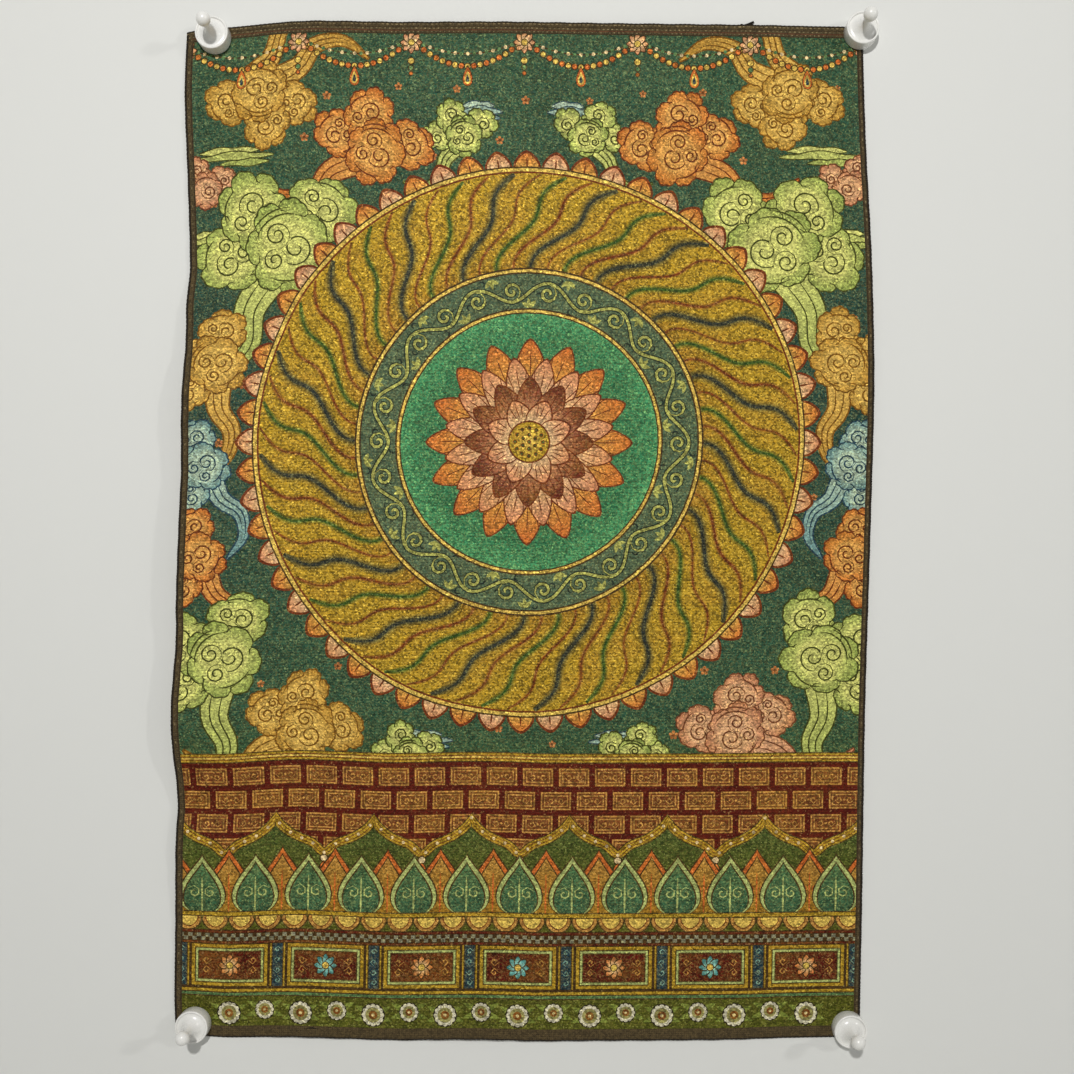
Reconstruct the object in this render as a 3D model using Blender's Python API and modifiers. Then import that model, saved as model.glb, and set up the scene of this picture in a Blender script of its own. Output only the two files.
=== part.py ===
"""A woven brocade hanging held flat to a wall by four knobbed magnets.

The frame is metres with +Z up. +X is to the right as seen from the front, the front of the cloth
faces -Y and the wall is the plane y = 0 behind it. The origin is the middle of the cloth's top
edge on the wall. The cloth is one sheet that lies flat under each magnet and stands a few
millimetres off the wall between them.
"""

import math

import bmesh
import bpy
import numpy as np
from mathutils import Matrix

MM = 0.001

# The cloth as it was cut, and how far apart it hangs from the wall
CLOTH_WIDTH = 608 * MM
CLOTH_HEIGHT = 902 * MM
CLOTH_THICKNESS = 1.2 * MM
COLUMNS = 32
ROWS = 46

# The magnets, each one turned shape
DRUM_RADIUS = 14.5 * MM
DRUM_DEPTH = 11.6 * MM
KNOB_RADIUS = 6.1 * MM
KNOB_CENTRE = 32 * MM
NECK_RADIUS = 2.6 * MM
NECK_DEPTH = 25.5 * MM
DISH_RADIUS = DRUM_RADIUS - 1.9 * MM
DISH_DEPTH = DRUM_DEPTH - 1.4 * MM
MAGNET_STEPS = 24
KNOB_STEPS = 6
FLARE_STEPS = 6
GAP = 0.3 * MM

# The drum's side, from its rounded front rim to its foot: (in from the side, back from the front)
DRUM_SIDE = (
    (1.3 * MM, 0.0),
    (0.7 * MM, 0.0),
    (0.2 * MM, 0.4 * MM),
    (0.0, 1.2 * MM),
    (0.0, DRUM_DEPTH - 0.7 * MM),
    (0.4 * MM, DRUM_DEPTH),
)

# The cloth is pressed flat within FLAT_REACH of a magnet's axis and free beyond FREE_REACH
FLAT_REACH = 30 * MM
FREE_REACH = 95 * MM

# Each edge's own unevenness: how far along it, and how far it stands out from a true rectangle
# LEFT and RIGHT: (down from the top, out), in millimetres
LEFT_EDGE = (
    (0, -3.9), (30, -2.4), (60, -1.9), (134, -4.7), (211, -6.7), (240, -4.7), (275, -5.2),
    (362, -3.4), (440, -1.9), (517, 0.5), (552, 1.7), (610, 5.0), (678, 3.0), (726, 4.4),
    (788, 5.9), (866, 7.3), (902, 6.2),
)
RIGHT_EDGE = (
    (0, -2.8), (24, -2.2), (105, -0.1), (201, 4.4), (295, 6.5), (343, 6.2), (420, 4.2),
    (498, 2.1), (610, -1.2), (707, -2.6), (765, -3.2), (841, -4.4), (902, -5.4),
)
# TOP and BOTTOM: (right from the middle, out), in millimetres
TOP_EDGE = (
    (-304, -8.0), (-292, -5.8), (-261, -3.1), (-220, 0.6), (-189, 1.6), (-112, 0.1),
    (-21, 0.3), (86, -1.2), (157, -1.9), (228, -2.2), (304, -3.1),
)
BOTTOM_EDGE = (
    (-304, -2.3), (-277, -0.5), (-254, 0.6), (-198, -0.8), (-163, 0.6), (-111, 2.5),
    (-47, 1.1), (-10, 1.7), (19, 2.9), (103, 2.5), (181, 1.9), (229, 1.1), (304, 0.0),
)

# Where the cloth stands off the wall, each fold a soft mound with its own long and short reach:
# (right from the middle, down from the top, reach across, reach along, turn in degrees, lift),
# lengths in millimetres
FOLDS = (
    (10, 400, 190, 250, 0, 2.2),
    (-232, 95, 22, 70, 38, 1.8),
    (-70, 8, 120, 30, 0, 1.8),
    (140, 14, 70, 34, 0, 1.2),
    (306, 330, 34, 130, 0, 3.2),
    (300, 640, 22, 90, 0, 1.4),
    (-200, 890, 34, 46, 10, 2.6),
    (-38, 892, 46, 60, 0, 3.4),
    (104, 896, 60, 40, -8, 1.6),
    (205, 850, 24, 60, -30, 1.2),
)

# The slack left edge curls further off the wall: (down from the top, lift), in millimetres
LEFT_CURL = (
    (230, 0), (261, 4.5), (290, 7), (324, 13), (352, 14), (400, 11.5), (434, 14), (481, 15.5),
    (520, 15), (544, 12.5), (577, 13.5), (615, 15), (644, 13.5), (673, 7), (697, 2.5), (725, 4.5),
    (745, 4), (793, 1), (830, 0),
)
CURL_REACH = 46 * MM

# Where the magnets sit: name, right from the middle, down from the top, in millimetres
MAGNETS = (
    ("magnet_top_left", -275.0, 13.5),
    ("magnet_top_right", 298.7, 9.3),
    ("magnet_bottom_left", -292.8, 889.5),
    ("magnet_bottom_right", 287.9, 893.2),
)


def clear_scene():
    for thing in list(bpy.data.objects):
        bpy.data.objects.remove(thing, do_unlink=True)


def new_collection(name):
    group = bpy.data.collections.new(name)
    bpy.context.scene.collection.children.link(group)
    return group


def new_material(name, colour, roughness, metallic=0.0):
    material = bpy.data.materials.new(name)
    material.use_nodes = True
    shader = material.node_tree.nodes["Principled BSDF"]
    shader.inputs["Base Color"].default_value = (*colour, 1.0)
    shader.inputs["Roughness"].default_value = roughness
    shader.inputs["Metallic"].default_value = metallic
    return material


def smooth_through(rows, at):
    """A smooth curve through the rows' points, read at one place along them."""
    along = [row[0] for row in rows]
    out = [row[1] for row in rows]
    at = min(max(at, along[0]), along[-1])
    i = min(max(int(np.searchsorted(along, at)) - 1, 0), len(rows) - 2)
    span = along[i + 1] - along[i]

    def slope(k):
        before, after = max(k - 1, 0), min(k + 1, len(rows) - 1)
        return (out[after] - out[before]) / (along[after] - along[before])

    t = (at - along[i]) / span
    return (
        (2 * t**3 - 3 * t**2 + 1) * out[i]
        + (t**3 - 2 * t**2 + t) * span * slope(i)
        + (3 * t**2 - 2 * t**3) * out[i + 1]
        + (t**3 - t**2) * span * slope(i + 1)
    )


def smooth_step(low, high, value):
    t = min(max((value - low) / (high - low), 0.0), 1.0)
    return t * t * (3 - 2 * t)


def held_flat(x, z):
    """0 where a magnet presses the cloth to the wall, rising to 1 where the cloth is free."""
    free = 1.0
    for _, right, down in MAGNETS:
        reach = math.hypot(x - right * MM, z + down * MM)
        free *= smooth_step(FLAT_REACH, FREE_REACH, reach)
    return free


def lift_off_wall(x, z):
    """How far the back of the cloth stands off the wall."""
    lift = 0.0
    for right, down, across, along, turn, height in FOLDS:
        angle = math.radians(turn)
        dx, dz = x - right * MM, z + down * MM
        short = (dx * math.cos(angle) + dz * math.sin(angle)) / (across * MM)
        long = (dz * math.cos(angle) - dx * math.sin(angle)) / (along * MM)
        lift += height * MM * math.exp(-0.5 * (short * short + long * long))
    inward = (x + CLOTH_WIDTH / 2) / CURL_REACH
    lift += smooth_through(LEFT_CURL, -z / MM) * MM * math.exp(-0.5 * inward * inward)
    return max(lift, 0.0) * held_flat(x, z)


def place_on_cloth(s, t):
    """The point of the hanging cloth at s across it, from the left, and t down it."""
    right = (s - 0.5) * CLOTH_WIDTH
    down = t * CLOTH_HEIGHT
    left_x = -CLOTH_WIDTH / 2 - smooth_through(LEFT_EDGE, down / MM) * MM
    right_x = CLOTH_WIDTH / 2 + smooth_through(RIGHT_EDGE, down / MM) * MM
    top_z = smooth_through(TOP_EDGE, right / MM) * MM
    bottom_z = -CLOTH_HEIGHT - smooth_through(BOTTOM_EDGE, right / MM) * MM
    x = left_x + (right_x - left_x) * s
    z = top_z + (bottom_z - top_z) * t
    return x, -lift_off_wall(x, z), z


def build_cloth(group):
    mesh = bpy.data.meshes.new("woven_panel")
    sheet = bmesh.new()
    bmesh.ops.create_grid(sheet, x_segments=COLUMNS, y_segments=ROWS, size=0.5)
    for point in sheet.verts:
        point.co = place_on_cloth(point.co.x + 0.5, 0.5 - point.co.y)
    bmesh.ops.recalc_face_normals(sheet, faces=sheet.faces)
    if sum(face.normal.y for face in sheet.faces) > 0:
        bmesh.ops.reverse_faces(sheet, faces=sheet.faces)
    sheet.to_mesh(mesh)
    sheet.free()
    mesh.shade_smooth()
    cloth = bpy.data.objects.new("woven_panel", mesh)
    group.objects.link(cloth)
    cloth.data.materials.append(new_material("brocade", (0.13, 0.12, 0.05), 0.5, 0.2))
    thicken = cloth.modifiers.new("thickness", "SOLIDIFY")
    thicken.thickness = CLOTH_THICKNESS
    thicken.offset = 1.0
    thicken.use_even_offset = False
    return cloth


def magnet_profile():
    """(radius, distance from the cloth) down the outer side, from the knob's tip to the foot."""
    points = [(0.0, KNOB_CENTRE + KNOB_RADIUS)]
    neck_angle = math.pi - math.asin(NECK_RADIUS / KNOB_RADIUS)
    for i in range(1, KNOB_STEPS + 1):
        angle = neck_angle * i / KNOB_STEPS
        height = KNOB_CENTRE + KNOB_RADIUS * math.cos(angle)
        points.append((KNOB_RADIUS * math.sin(angle), height))
    # The neck flares in a hollow curve down to the drum's dished front
    for i in range(FLARE_STEPS + 1):
        angle = 0.5 * math.pi * i / FLARE_STEPS
        radius = DISH_RADIUS - (DISH_RADIUS - NECK_RADIUS) * math.cos(angle)
        points.append((radius, DISH_DEPTH + (NECK_DEPTH - DISH_DEPTH) * (1 - math.sin(angle))))
    points += [(DRUM_RADIUS - inward, DRUM_DEPTH - back) for inward, back in DRUM_SIDE]
    points.append((0.0, 0.0))
    return points


def magnet_mesh():
    mesh = bpy.data.meshes.new("magnet")
    turned = bmesh.new()
    line = [turned.verts.new((radius, 0.0, height)) for radius, height in magnet_profile()]
    for first, second in zip(line, line[1:]):
        turned.edges.new((first, second))
    turned.to_mesh(mesh)
    turned.free()
    return mesh


def build_magnet(group, name, right, down, mesh):
    magnet = bpy.data.objects.new(name, mesh)
    group.objects.link(magnet)
    spin = magnet.modifiers.new("turned", "SCREW")
    spin.axis = "Z"
    spin.steps = MAGNET_STEPS
    spin.render_steps = MAGNET_STEPS
    spin.use_merge_vertices = True
    spin.merge_threshold = 0.01 * MM
    spin.use_smooth_shade = True
    # The turning axis points out of the wall, towards -Y
    stand = Matrix.Translation((right * MM, -CLOTH_THICKNESS - GAP, -down * MM))
    magnet.matrix_world = stand @ Matrix.Rotation(math.radians(90), 4, "X")
    return magnet


def main():
    clear_scene()
    group = new_collection("woven_hanging")
    build_cloth(group)
    mesh = magnet_mesh()
    mesh.materials.append(new_material("white_plastic", (0.8, 0.8, 0.77), 0.22))
    for name, right, down in MAGNETS:
        build_magnet(group, name, right, down, mesh)


main()
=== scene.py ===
"""The looks of a woven brocade hanging that four knobbed magnets hold to a wall.

The cloth is one sheet whose woven design is drawn as flat coloured shapes, in millimetres right of
the middle and down from the top. The shapes are cut into triangles and laid on the hanging cloth.
"""

import math

import bpy
import numpy as np
from mathutils import Matrix, Vector
from mathutils.geometry import delaunay_2d_cdt


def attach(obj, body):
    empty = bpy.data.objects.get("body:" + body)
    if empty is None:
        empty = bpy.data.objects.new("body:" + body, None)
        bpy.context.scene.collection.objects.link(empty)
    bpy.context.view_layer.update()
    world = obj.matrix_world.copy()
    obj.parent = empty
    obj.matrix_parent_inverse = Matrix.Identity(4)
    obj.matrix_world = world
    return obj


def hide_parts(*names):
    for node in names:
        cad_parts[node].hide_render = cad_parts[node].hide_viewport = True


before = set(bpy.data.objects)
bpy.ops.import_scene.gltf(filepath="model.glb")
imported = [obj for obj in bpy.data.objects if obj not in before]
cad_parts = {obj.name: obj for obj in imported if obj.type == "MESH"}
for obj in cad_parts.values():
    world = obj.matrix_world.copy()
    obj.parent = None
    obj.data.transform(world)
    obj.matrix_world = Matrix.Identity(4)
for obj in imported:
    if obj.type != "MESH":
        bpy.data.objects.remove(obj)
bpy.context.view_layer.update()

MM = 0.001

# The cloth as it was cut
CLOTH_WIDTH = 608
CLOTH_HEIGHT = 902
CLOTH_THICKNESS = 1.2
HALF_WIDTH = CLOTH_WIDTH / 2

# The magnets, each one turned shape
DRUM_RADIUS = 14.5
DRUM_DEPTH = 11.6
KNOB_RADIUS = 6.1
KNOB_CENTRE = 32
NECK_RADIUS = 2.6
NECK_DEPTH = 25.5
DISH_RADIUS = DRUM_RADIUS - 1.9
DISH_DEPTH = DRUM_DEPTH - 1.4
MAGNET_STEPS = 96
KNOB_STEPS = 24
FLARE_STEPS = 20
LIP_RADIUS = 0.95
LIP_STEPS = 12
GAP = 0.3

# The cloth is pressed flat within FLAT_REACH of a magnet's axis and free beyond FREE_REACH
FLAT_REACH = 30
FREE_REACH = 95

# Each edge's own unevenness: how far along it, and how far it stands out from a true rectangle
# LEFT and RIGHT: (down from the top, out)
LEFT_EDGE = (
    (0, -3.9), (30, -2.4), (60, -1.9), (134, -4.7), (211, -6.7), (240, -4.7), (275, -5.2),
    (362, -3.4), (440, -1.9), (517, 0.5), (552, 1.7), (610, 5.0), (678, 3.0), (726, 4.4),
    (788, 5.9), (866, 7.3), (902, 6.2),
)
RIGHT_EDGE = (
    (0, -2.8), (24, -2.2), (105, -0.1), (201, 4.4), (295, 6.5), (343, 6.2), (420, 4.2),
    (498, 2.1), (610, -1.2), (707, -2.6), (765, -3.2), (841, -4.4), (902, -5.4),
)
# TOP and BOTTOM: (right from the middle, out)
TOP_EDGE = (
    (-304, -8.0), (-292, -5.8), (-261, -3.1), (-220, 0.6), (-189, 1.6), (-112, 0.1),
    (-21, 0.3), (86, -1.2), (157, -1.9), (228, -2.2), (304, -3.1),
)
BOTTOM_EDGE = (
    (-304, -2.3), (-277, -0.5), (-254, 0.6), (-198, -0.8), (-163, 0.6), (-111, 2.5),
    (-47, 1.1), (-10, 1.7), (19, 2.9), (103, 2.5), (181, 1.9), (229, 1.1), (304, 0.0),
)

# Where the cloth stands off the wall, each fold a soft mound with its own long and short reach:
# (right from the middle, down from the top, reach across, reach along, turn in degrees, lift)
FOLDS = (
    (10, 400, 190, 250, 0, 2.2),
    (-232, 95, 22, 70, 38, 1.8),
    (-70, 8, 120, 30, 0, 1.8),
    (140, 14, 70, 34, 0, 1.2),
    (306, 330, 34, 130, 0, 3.2),
    (300, 640, 22, 90, 0, 1.4),
    (-200, 890, 34, 46, 10, 2.6),
    (-38, 892, 46, 60, 0, 3.4),
    (104, 896, 60, 40, -8, 1.6),
    (205, 850, 24, 60, -30, 1.2),
)

# The slack left edge curls further off the wall: (down from the top, lift)
LEFT_CURL = (
    (230, 0), (261, 4.5), (290, 7), (324, 13), (352, 14), (400, 11.5), (434, 14), (481, 15.5),
    (520, 15), (544, 12.5), (577, 13.5), (615, 15), (644, 13.5), (673, 7), (697, 2.5), (725, 4.5),
    (745, 4), (793, 1), (830, 0),
)
CURL_REACH = 46

# The serged edge draws the cloth into small puckers: reach in from the edge, height, pitch
PUCKER_REACH = 11
PUCKER_HEIGHT = 0.32
PUCKER_PITCH = 27

# Where the magnets sit: name, right from the middle, down from the top
MAGNETS = (
    ("magnet_top_left", -275.0, 13.5),
    ("magnet_top_right", 298.7, 9.3),
    ("magnet_bottom_left", -292.8, 889.5),
    ("magnet_bottom_right", 287.9, 893.2),
)

# The serged border: its width along each edge, the cloth inside it, its dark rim's width at the
# sides, top and foot, how far it is raised, and its stitches
BORDER_TOP = 10.5
BORDER_BOTTOM = 10.2
BORDER_LEFT = 6.5
BORDER_RIGHT = 5.6
BORDER_WIDTHS = (BORDER_LEFT, BORDER_RIGHT, BORDER_TOP, BORDER_BOTTOM)
INNER = (
    -HALF_WIDTH + BORDER_LEFT, BORDER_TOP, HALF_WIDTH - BORDER_RIGHT, CLOTH_HEIGHT - BORDER_BOTTOM
)
RIM_WIDTH = 1.9
RIM_TOP = 1.1
RIM_FOOT = 1.3
BORDER_RAISE = 0.35
SERGE_PITCH = 1.9
STITCH_PITCH = 4.0
STITCH_LOOP = 0.28

# How far apart the weave's ribs lie
RIB_PITCH = 2.5

# How finely the design is cut: the largest gap between a curve and its chord, the lattice that
# carries the folds, the finer one along the border and how far in it reaches, the back's own, and
# the distance at which points are one
CHORD_ERROR = 0.19
LATTICE = 10.0
EDGE_LATTICE = 6.0
EDGE_ZONE = 14
BACK_LATTICE = 14.0
WELD = 0.03

# How far apart points lie along scrolls and scallops, how far the wide and the fine lattice's
# points stay from the design's own, and how many tests of a place against an edge run at once
POINT_SPACING = 2.8
LATTICE_CLEAR = 3.0
EDGE_CLEAR = 1.6
TESTS_AT_ONCE = 3_000_000

# Bands are drawn a little past the cloth's sides; upwards is towards the cloth's top
SPREAD = 310
UP = -math.pi / 2

# Gleam runs from 0 for plain thread to 1 for metal thread; dark lines have little
DULL = 0.15

# Thread colours, as red, green and blue from 0 to 255
TEAL = (43, 78, 56)
DEEP_TEAL = (30, 62, 54)
OLIVE = (72, 76, 18)
GOLD = (160, 127, 29)
DEEP_GOLD = (138, 98, 22)
PALE_GOLD = (204, 172, 80)
RED_BROWN = (104, 42, 14)
DARK_RED = (82, 18, 8)
SLATE = (36, 42, 38)
MOSS = (44, 74, 24)
BRICK_RED = (108, 54, 24)
RING_SLATE = (70, 90, 66)
RING_SCROLL = (150, 150, 76)
RING_INK = (24, 38, 32)
EMERALD = (62, 134, 86)
DEEP_EMERALD = (46, 112, 72)
CREAM = (212, 188, 142)
PEACH = (206, 150, 108)
SALMON = (196, 122, 84)
ORANGE = (186, 92, 36)
LEAF = (74, 108, 66)
PALE_LEAF = (158, 168, 100)
TAN = (172, 122, 58)
INK = (64, 42, 16)
NAVY = (28, 52, 62)
BORDER_BROWN = (76, 63, 38)
BORDER_DARK = (34, 27, 17)
BORDER_SHADE = (58, 46, 26)
BORDER_DASH = np.array([134, 118, 84])
BORDER_RED = (88, 54, 32)
BACK_BROWN = (112, 96, 58)
RUST = (176, 104, 56)
COPPER = (112, 60, 20)
STRAW = (206, 186, 128)
AQUA = (150, 196, 180)
DEEP_AQUA = (40, 110, 110)
MIST_GREEN = (110, 146, 128)
DEEP_LEAF = (48, 84, 58)
SAGE = (132, 126, 76)
PALE_OLIVE = (104, 116, 46)
DARK_OLIVE = (34, 28, 14)
GREY_GREEN = (120, 118, 96)
PALE_GREY = (196, 190, 164)
BLACK = (18, 14, 9)

# Each cloud's colours: rim, body, outline
GOLD_CLOUD = ((168, 124, 46), (206, 166, 82), (112, 72, 12))
GREEN_CLOUD = ((134, 150, 72), (192, 192, 108), (58, 62, 18))
ORANGE_CLOUD = ((178, 96, 34), (206, 148, 76), (98, 38, 10))
SALMON_CLOUD = ((184, 118, 84), (210, 160, 118), (108, 58, 34))
BLUE_CLOUD = ((96, 134, 132), (158, 178, 156), (28, 58, 74))


def smooth_through(rows, at):
    """A smooth curve through the rows' points, read at many places along them."""
    along, out = np.array(rows, float).T
    at = np.clip(at, along[0], along[-1])
    i = np.clip(np.searchsorted(along, at) - 1, 0, len(rows) - 2)
    before = np.maximum(np.arange(len(rows)) - 1, 0)
    after = np.minimum(np.arange(len(rows)) + 1, len(rows) - 1)
    slope = (out[after] - out[before]) / (along[after] - along[before])
    span = along[i + 1] - along[i]
    t = (at - along[i]) / span
    return (
        (2 * t**3 - 3 * t**2 + 1) * out[i]
        + (t**3 - 2 * t**2 + t) * span * slope[i]
        + (3 * t**2 - 2 * t**3) * out[i + 1]
        + (t**3 - t**2) * span * slope[i + 1]
    )


def smooth_step(low, high, value):
    t = np.clip((value - low) / (high - low), 0.0, 1.0)
    return t * t * (3 - 2 * t)


def lift_off_wall(x, down):
    """How far the back of the cloth stands off the wall, and how free of the magnets it is."""
    lift = np.zeros_like(x)
    for right, middle, across, along, turn, height in FOLDS:
        angle = math.radians(turn)
        dx, dz = x - right, middle - down
        short = (dx * math.cos(angle) + dz * math.sin(angle)) / across
        long = (dz * math.cos(angle) - dx * math.sin(angle)) / along
        lift += height * np.exp(-0.5 * (short * short + long * long))
    inward = (x + HALF_WIDTH) / CURL_REACH
    lift += smooth_through(LEFT_CURL, down) * np.exp(-0.5 * inward * inward)
    free = np.ones_like(x)
    for _, right, middle in MAGNETS:
        free *= smooth_step(FLAT_REACH, FREE_REACH, np.hypot(x - right, down - middle))
    return np.maximum(lift, 0.0) * free, free


def edge_distances(points):
    """How far each point of the flat cloth lies in from the left, right, top and bottom edges."""
    x, down = points.T
    return x + HALF_WIDTH, HALF_WIDTH - x, down, CLOTH_HEIGHT - down


def puckers(points, free):
    """Small waves along the serged edges, which die away inwards."""
    x, down = points.T
    wave_down = np.sin(2 * np.pi * down / PUCKER_PITCH + 0.8 * np.sin(down / 41))
    wave_across = np.sin(2 * np.pi * x / PUCKER_PITCH + 1.1 * np.sin(x / 37))
    height = np.zeros_like(x)
    waves = (wave_down, wave_down, wave_across, wave_across)
    for distance, wave in zip(edge_distances(points), waves):
        height += PUCKER_HEIGHT * (1 + wave) * np.exp(-((distance / PUCKER_REACH) ** 2))
    return height * free


def serge_height(points):
    """How far the serged border stands proud of the cloth's face."""
    distances = edge_distances(points)
    raised = np.zeros(len(points))
    for distance, width in zip(distances, BORDER_WIDTHS):
        raised = np.maximum(raised, 1 - smooth_step(width - 0.8, width + 0.6, distance))
    return BORDER_RAISE * raised * smooth_step(-0.4, 1.2, np.min(distances, axis=0))


def hang(points, front):
    """The places in metres of the flat cloth's points on the hanging cloth's front or back."""
    x, down = points.T
    left_x = -HALF_WIDTH - smooth_through(LEFT_EDGE, down)
    right_x = HALF_WIDTH + smooth_through(RIGHT_EDGE, down)
    top_z = smooth_through(TOP_EDGE, x)
    bottom_z = -CLOTH_HEIGHT - smooth_through(BOTTOM_EDGE, x)
    hung_x = left_x + (right_x - left_x) * (x / CLOTH_WIDTH + 0.5)
    hung_z = top_z + (bottom_z - top_z) * (down / CLOTH_HEIGHT)
    lift, free = lift_off_wall(hung_x, -hung_z)
    lift += puckers(points, free)
    if front:
        lift += CLOTH_THICKNESS + serge_height(points)
    return np.column_stack([hung_x, -lift, hung_z]) * MM


def hung_normals(points):
    """The front's normals, from small steps across and down the cloth."""
    step = 0.5
    across = hang(points + (step, 0), True) - hang(points - (step, 0), True)
    along = hang(points + (0, step), True) - hang(points - (0, step), True)
    normals = np.cross(along, across)
    normals /= np.linalg.norm(normals, axis=1)[:, None]
    return np.where(normals[:, 1:2] > 0, -normals, normals)


# Drawing


def mix(first, second, share):
    """Between two colours, for each share from 0 to 1."""
    share = np.clip(np.asarray(share, float), 0, 1)[:, None]
    return np.asarray(first, float) * (1 - share) + np.asarray(second, float) * share


def round_paint(centre, inner, outer, radius, start=0.0):
    """A colour that changes from the centre to a radius."""
    return lambda p: mix(inner, outer, (np.hypot(*(p - centre).T) - start) / (radius - start))


def fade_paint(start, end, first, second):
    """A colour that changes from one place to another."""
    run = end - start
    return lambda p: mix(first, second, (p - start) @ run / (run @ run))


def ground_paint(points):
    """The cloth's ground: teal, deeper halfway down, turning to olive at the foot."""
    x, down = points.T
    deep = np.exp(-(((down - 330) / 190) ** 2)) * (0.55 + 0.45 * np.sin(x / 62) ** 2)
    return mix(mix(TEAL, DEEP_TEAL, deep), OLIVE, smooth_step(600, 800, down))


def heading(angle):
    return np.array([math.cos(angle), math.sin(angle)])


def axes(angle):
    """The direction at an angle, and the one square to it."""
    along = heading(angle)
    return along, np.array([-along[1], along[0]])


def spokes(count, shift=0.0, turn=0.0):
    """Evenly spread turns round a middle, each with its number and direction."""
    for k in range(count):
        angle = turn + 2 * math.pi * (k + shift) / count
        yield k, angle, heading(angle)


def polar(angle, reach):
    """Places at these turns and distances from a middle."""
    return np.column_stack([np.cos(angle), np.sin(angle)]) * np.reshape(reach, (-1, 1))


def arc(centre, radius, start, end):
    chord = math.sqrt(8 * CHORD_ERROR * max(radius, 0.5))
    steps = max(3, math.ceil(abs(end - start) * radius / chord))
    return polar(np.linspace(start, end, steps + 1), radius) + centre


def disc(centre, radius):
    return arc(centre, radius, 0, 2 * np.pi)[:-1]


def box(left, top, right, bottom):
    return np.array([(left, top), (right, top), (right, bottom), (left, bottom)], float)


def spiral(centre, radius, turns, start, hand=1, core=0.14):
    """A scroll that winds in from its outer end."""
    t = np.linspace(0, 1, max(7, int(turns * 2 * np.pi * radius * 0.62 / POINT_SPACING)))
    t = 1 - (1 - t) ** 1.3
    return polar(start + hand * 2 * np.pi * turns * t, radius * (1 - (1 - core) * t)) + centre


def flowing(places, spacing):
    """A smooth route through a few places."""
    ends = np.vstack([2 * places[0] - places[1], places, 2 * places[-1] - places[-2]])
    route = []
    for a, b, c, d in zip(ends, ends[1:], ends[2:], ends[3:]):
        count = max(2, int(np.linalg.norm(c - b) / spacing))
        t = np.linspace(0, 1, count, endpoint=False)[:, None]
        pull = (2 * a - 5 * b + 4 * c - d) * t**2 + (3 * b - a - 3 * c + d) * t**3
        route.append(b + 0.5 * ((c - a) * t + pull))
    return np.vstack(route + [places[-1:]])


def sides(route, width):
    """The two sides of a stroke along a route; the width may change along it."""
    run = np.gradient(route, axis=0)
    run /= np.maximum(np.linalg.norm(run, axis=1), 1e-9)[:, None]
    out = np.column_stack([-run[:, 1], run[:, 0]]) * (np.ones(len(route)) * width / 2)[:, None]
    return route + out, route - out


def tapered(count, width, share=0.25, tip=0.3):
    """A stroke's width along it, thinning towards both ends."""
    t = np.linspace(0, 1, count)
    return width * np.clip(np.minimum(t, 1 - t) / share, tip, 1)


def along_spine(base, angle, reach, half):
    """A closed shape with these half widths along a straight spine."""
    along, across = axes(angle)
    spine = np.asarray(base) + np.outer(reach, along)
    rib = half[:, None] * across
    return np.vstack([spine + rib, (spine - rib)[-2:0:-1]])


def petal(base, angle, length, width, belly=0.8, fullness=0.75, steps=9):
    """A pointed leaf or petal that starts at base."""
    t = 0.5 - 0.5 * np.cos(np.linspace(0, np.pi, steps))
    half = 0.5 * width * np.sin(np.pi * t**belly) ** fullness
    return along_spine(base, angle, t * length, half)


def ogee(base, angle, length, width):
    """A broad petal with a drawn-out point."""
    t = 0.5 - 0.5 * np.cos(np.linspace(0, np.pi, 14))
    half = 0.5 * width * np.sin(np.pi * t**0.75) ** 0.5 * (1 - t**2.2) ** 0.75
    return along_spine(base, angle, t * length, half)


class Drawing:
    """Flat shapes in order, each one over those before it: loop, paint, gleam, in the border."""

    def __init__(self):
        self.shapes = []
        self.border = False

    def fill(self, loop, paint, gleam=0.5):
        self.shapes.append((loop, paint, gleam, self.border))

    def line(self, route, width, paint, gleam=DULL, taper=True):
        if taper:
            width = tapered(len(route), width)
        left, right = sides(route, width)
        self.fill(np.vstack([left, right[::-1]]), paint, gleam)

    def soft_line(self, route, width, core, side, gleam):
        """A line whose colour fades into its surroundings on both sides."""
        starts, runs = route[:-1], np.diff(route, axis=0)
        squares = (runs**2).sum(axis=1)

        def paint(points):
            away = points[:, None] - starts
            t = np.clip((away * runs).sum(axis=2) / squares, 0, 1)
            gap = np.linalg.norm(away - t[..., None] * runs, axis=2).min(axis=1)
            return mix(core, side, gap / (width / 2))

        for edge in sides(route, tapered(len(route), width, 0.12)):
            self.fill(np.vstack([edge, route[::-1]]), paint, gleam)

    def band(self, top, foot, paint, gleam):
        """A strip from side to side."""
        self.fill(box(-SPREAD, top, SPREAD, foot), paint, gleam)

    def discs(self, centre, *rows):
        """Discs over one another: radius, paint, gleam."""
        for radius, paint, gleam in rows:
            self.fill(disc(centre, radius), paint, gleam)

    def petal(self, root, tip, angle, outer, inner, shape, fade, edge, gleam=0.5):
        """A petal that fades from its root to its tip, over a wider one as its outline."""
        self.fill(petal(root, angle, *outer, *shape), edge, DULL)
        self.fill(petal(root, angle, *inner, *shape), fade_paint(root, tip, *fade), gleam)

    def stripes(self, middle, *rows):
        """Bands over one another, on one middle line: width, paint."""
        for width, paint in rows:
            self.band(middle - width / 2, middle + width / 2, paint, 0.8)


def stretched(places, stretch, lean):
    """Places made longer along one direction and shorter across it."""
    along, across = axes(lean)
    return np.outer(places @ along * stretch, along) + np.outer(places @ across / stretch, across)


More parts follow.
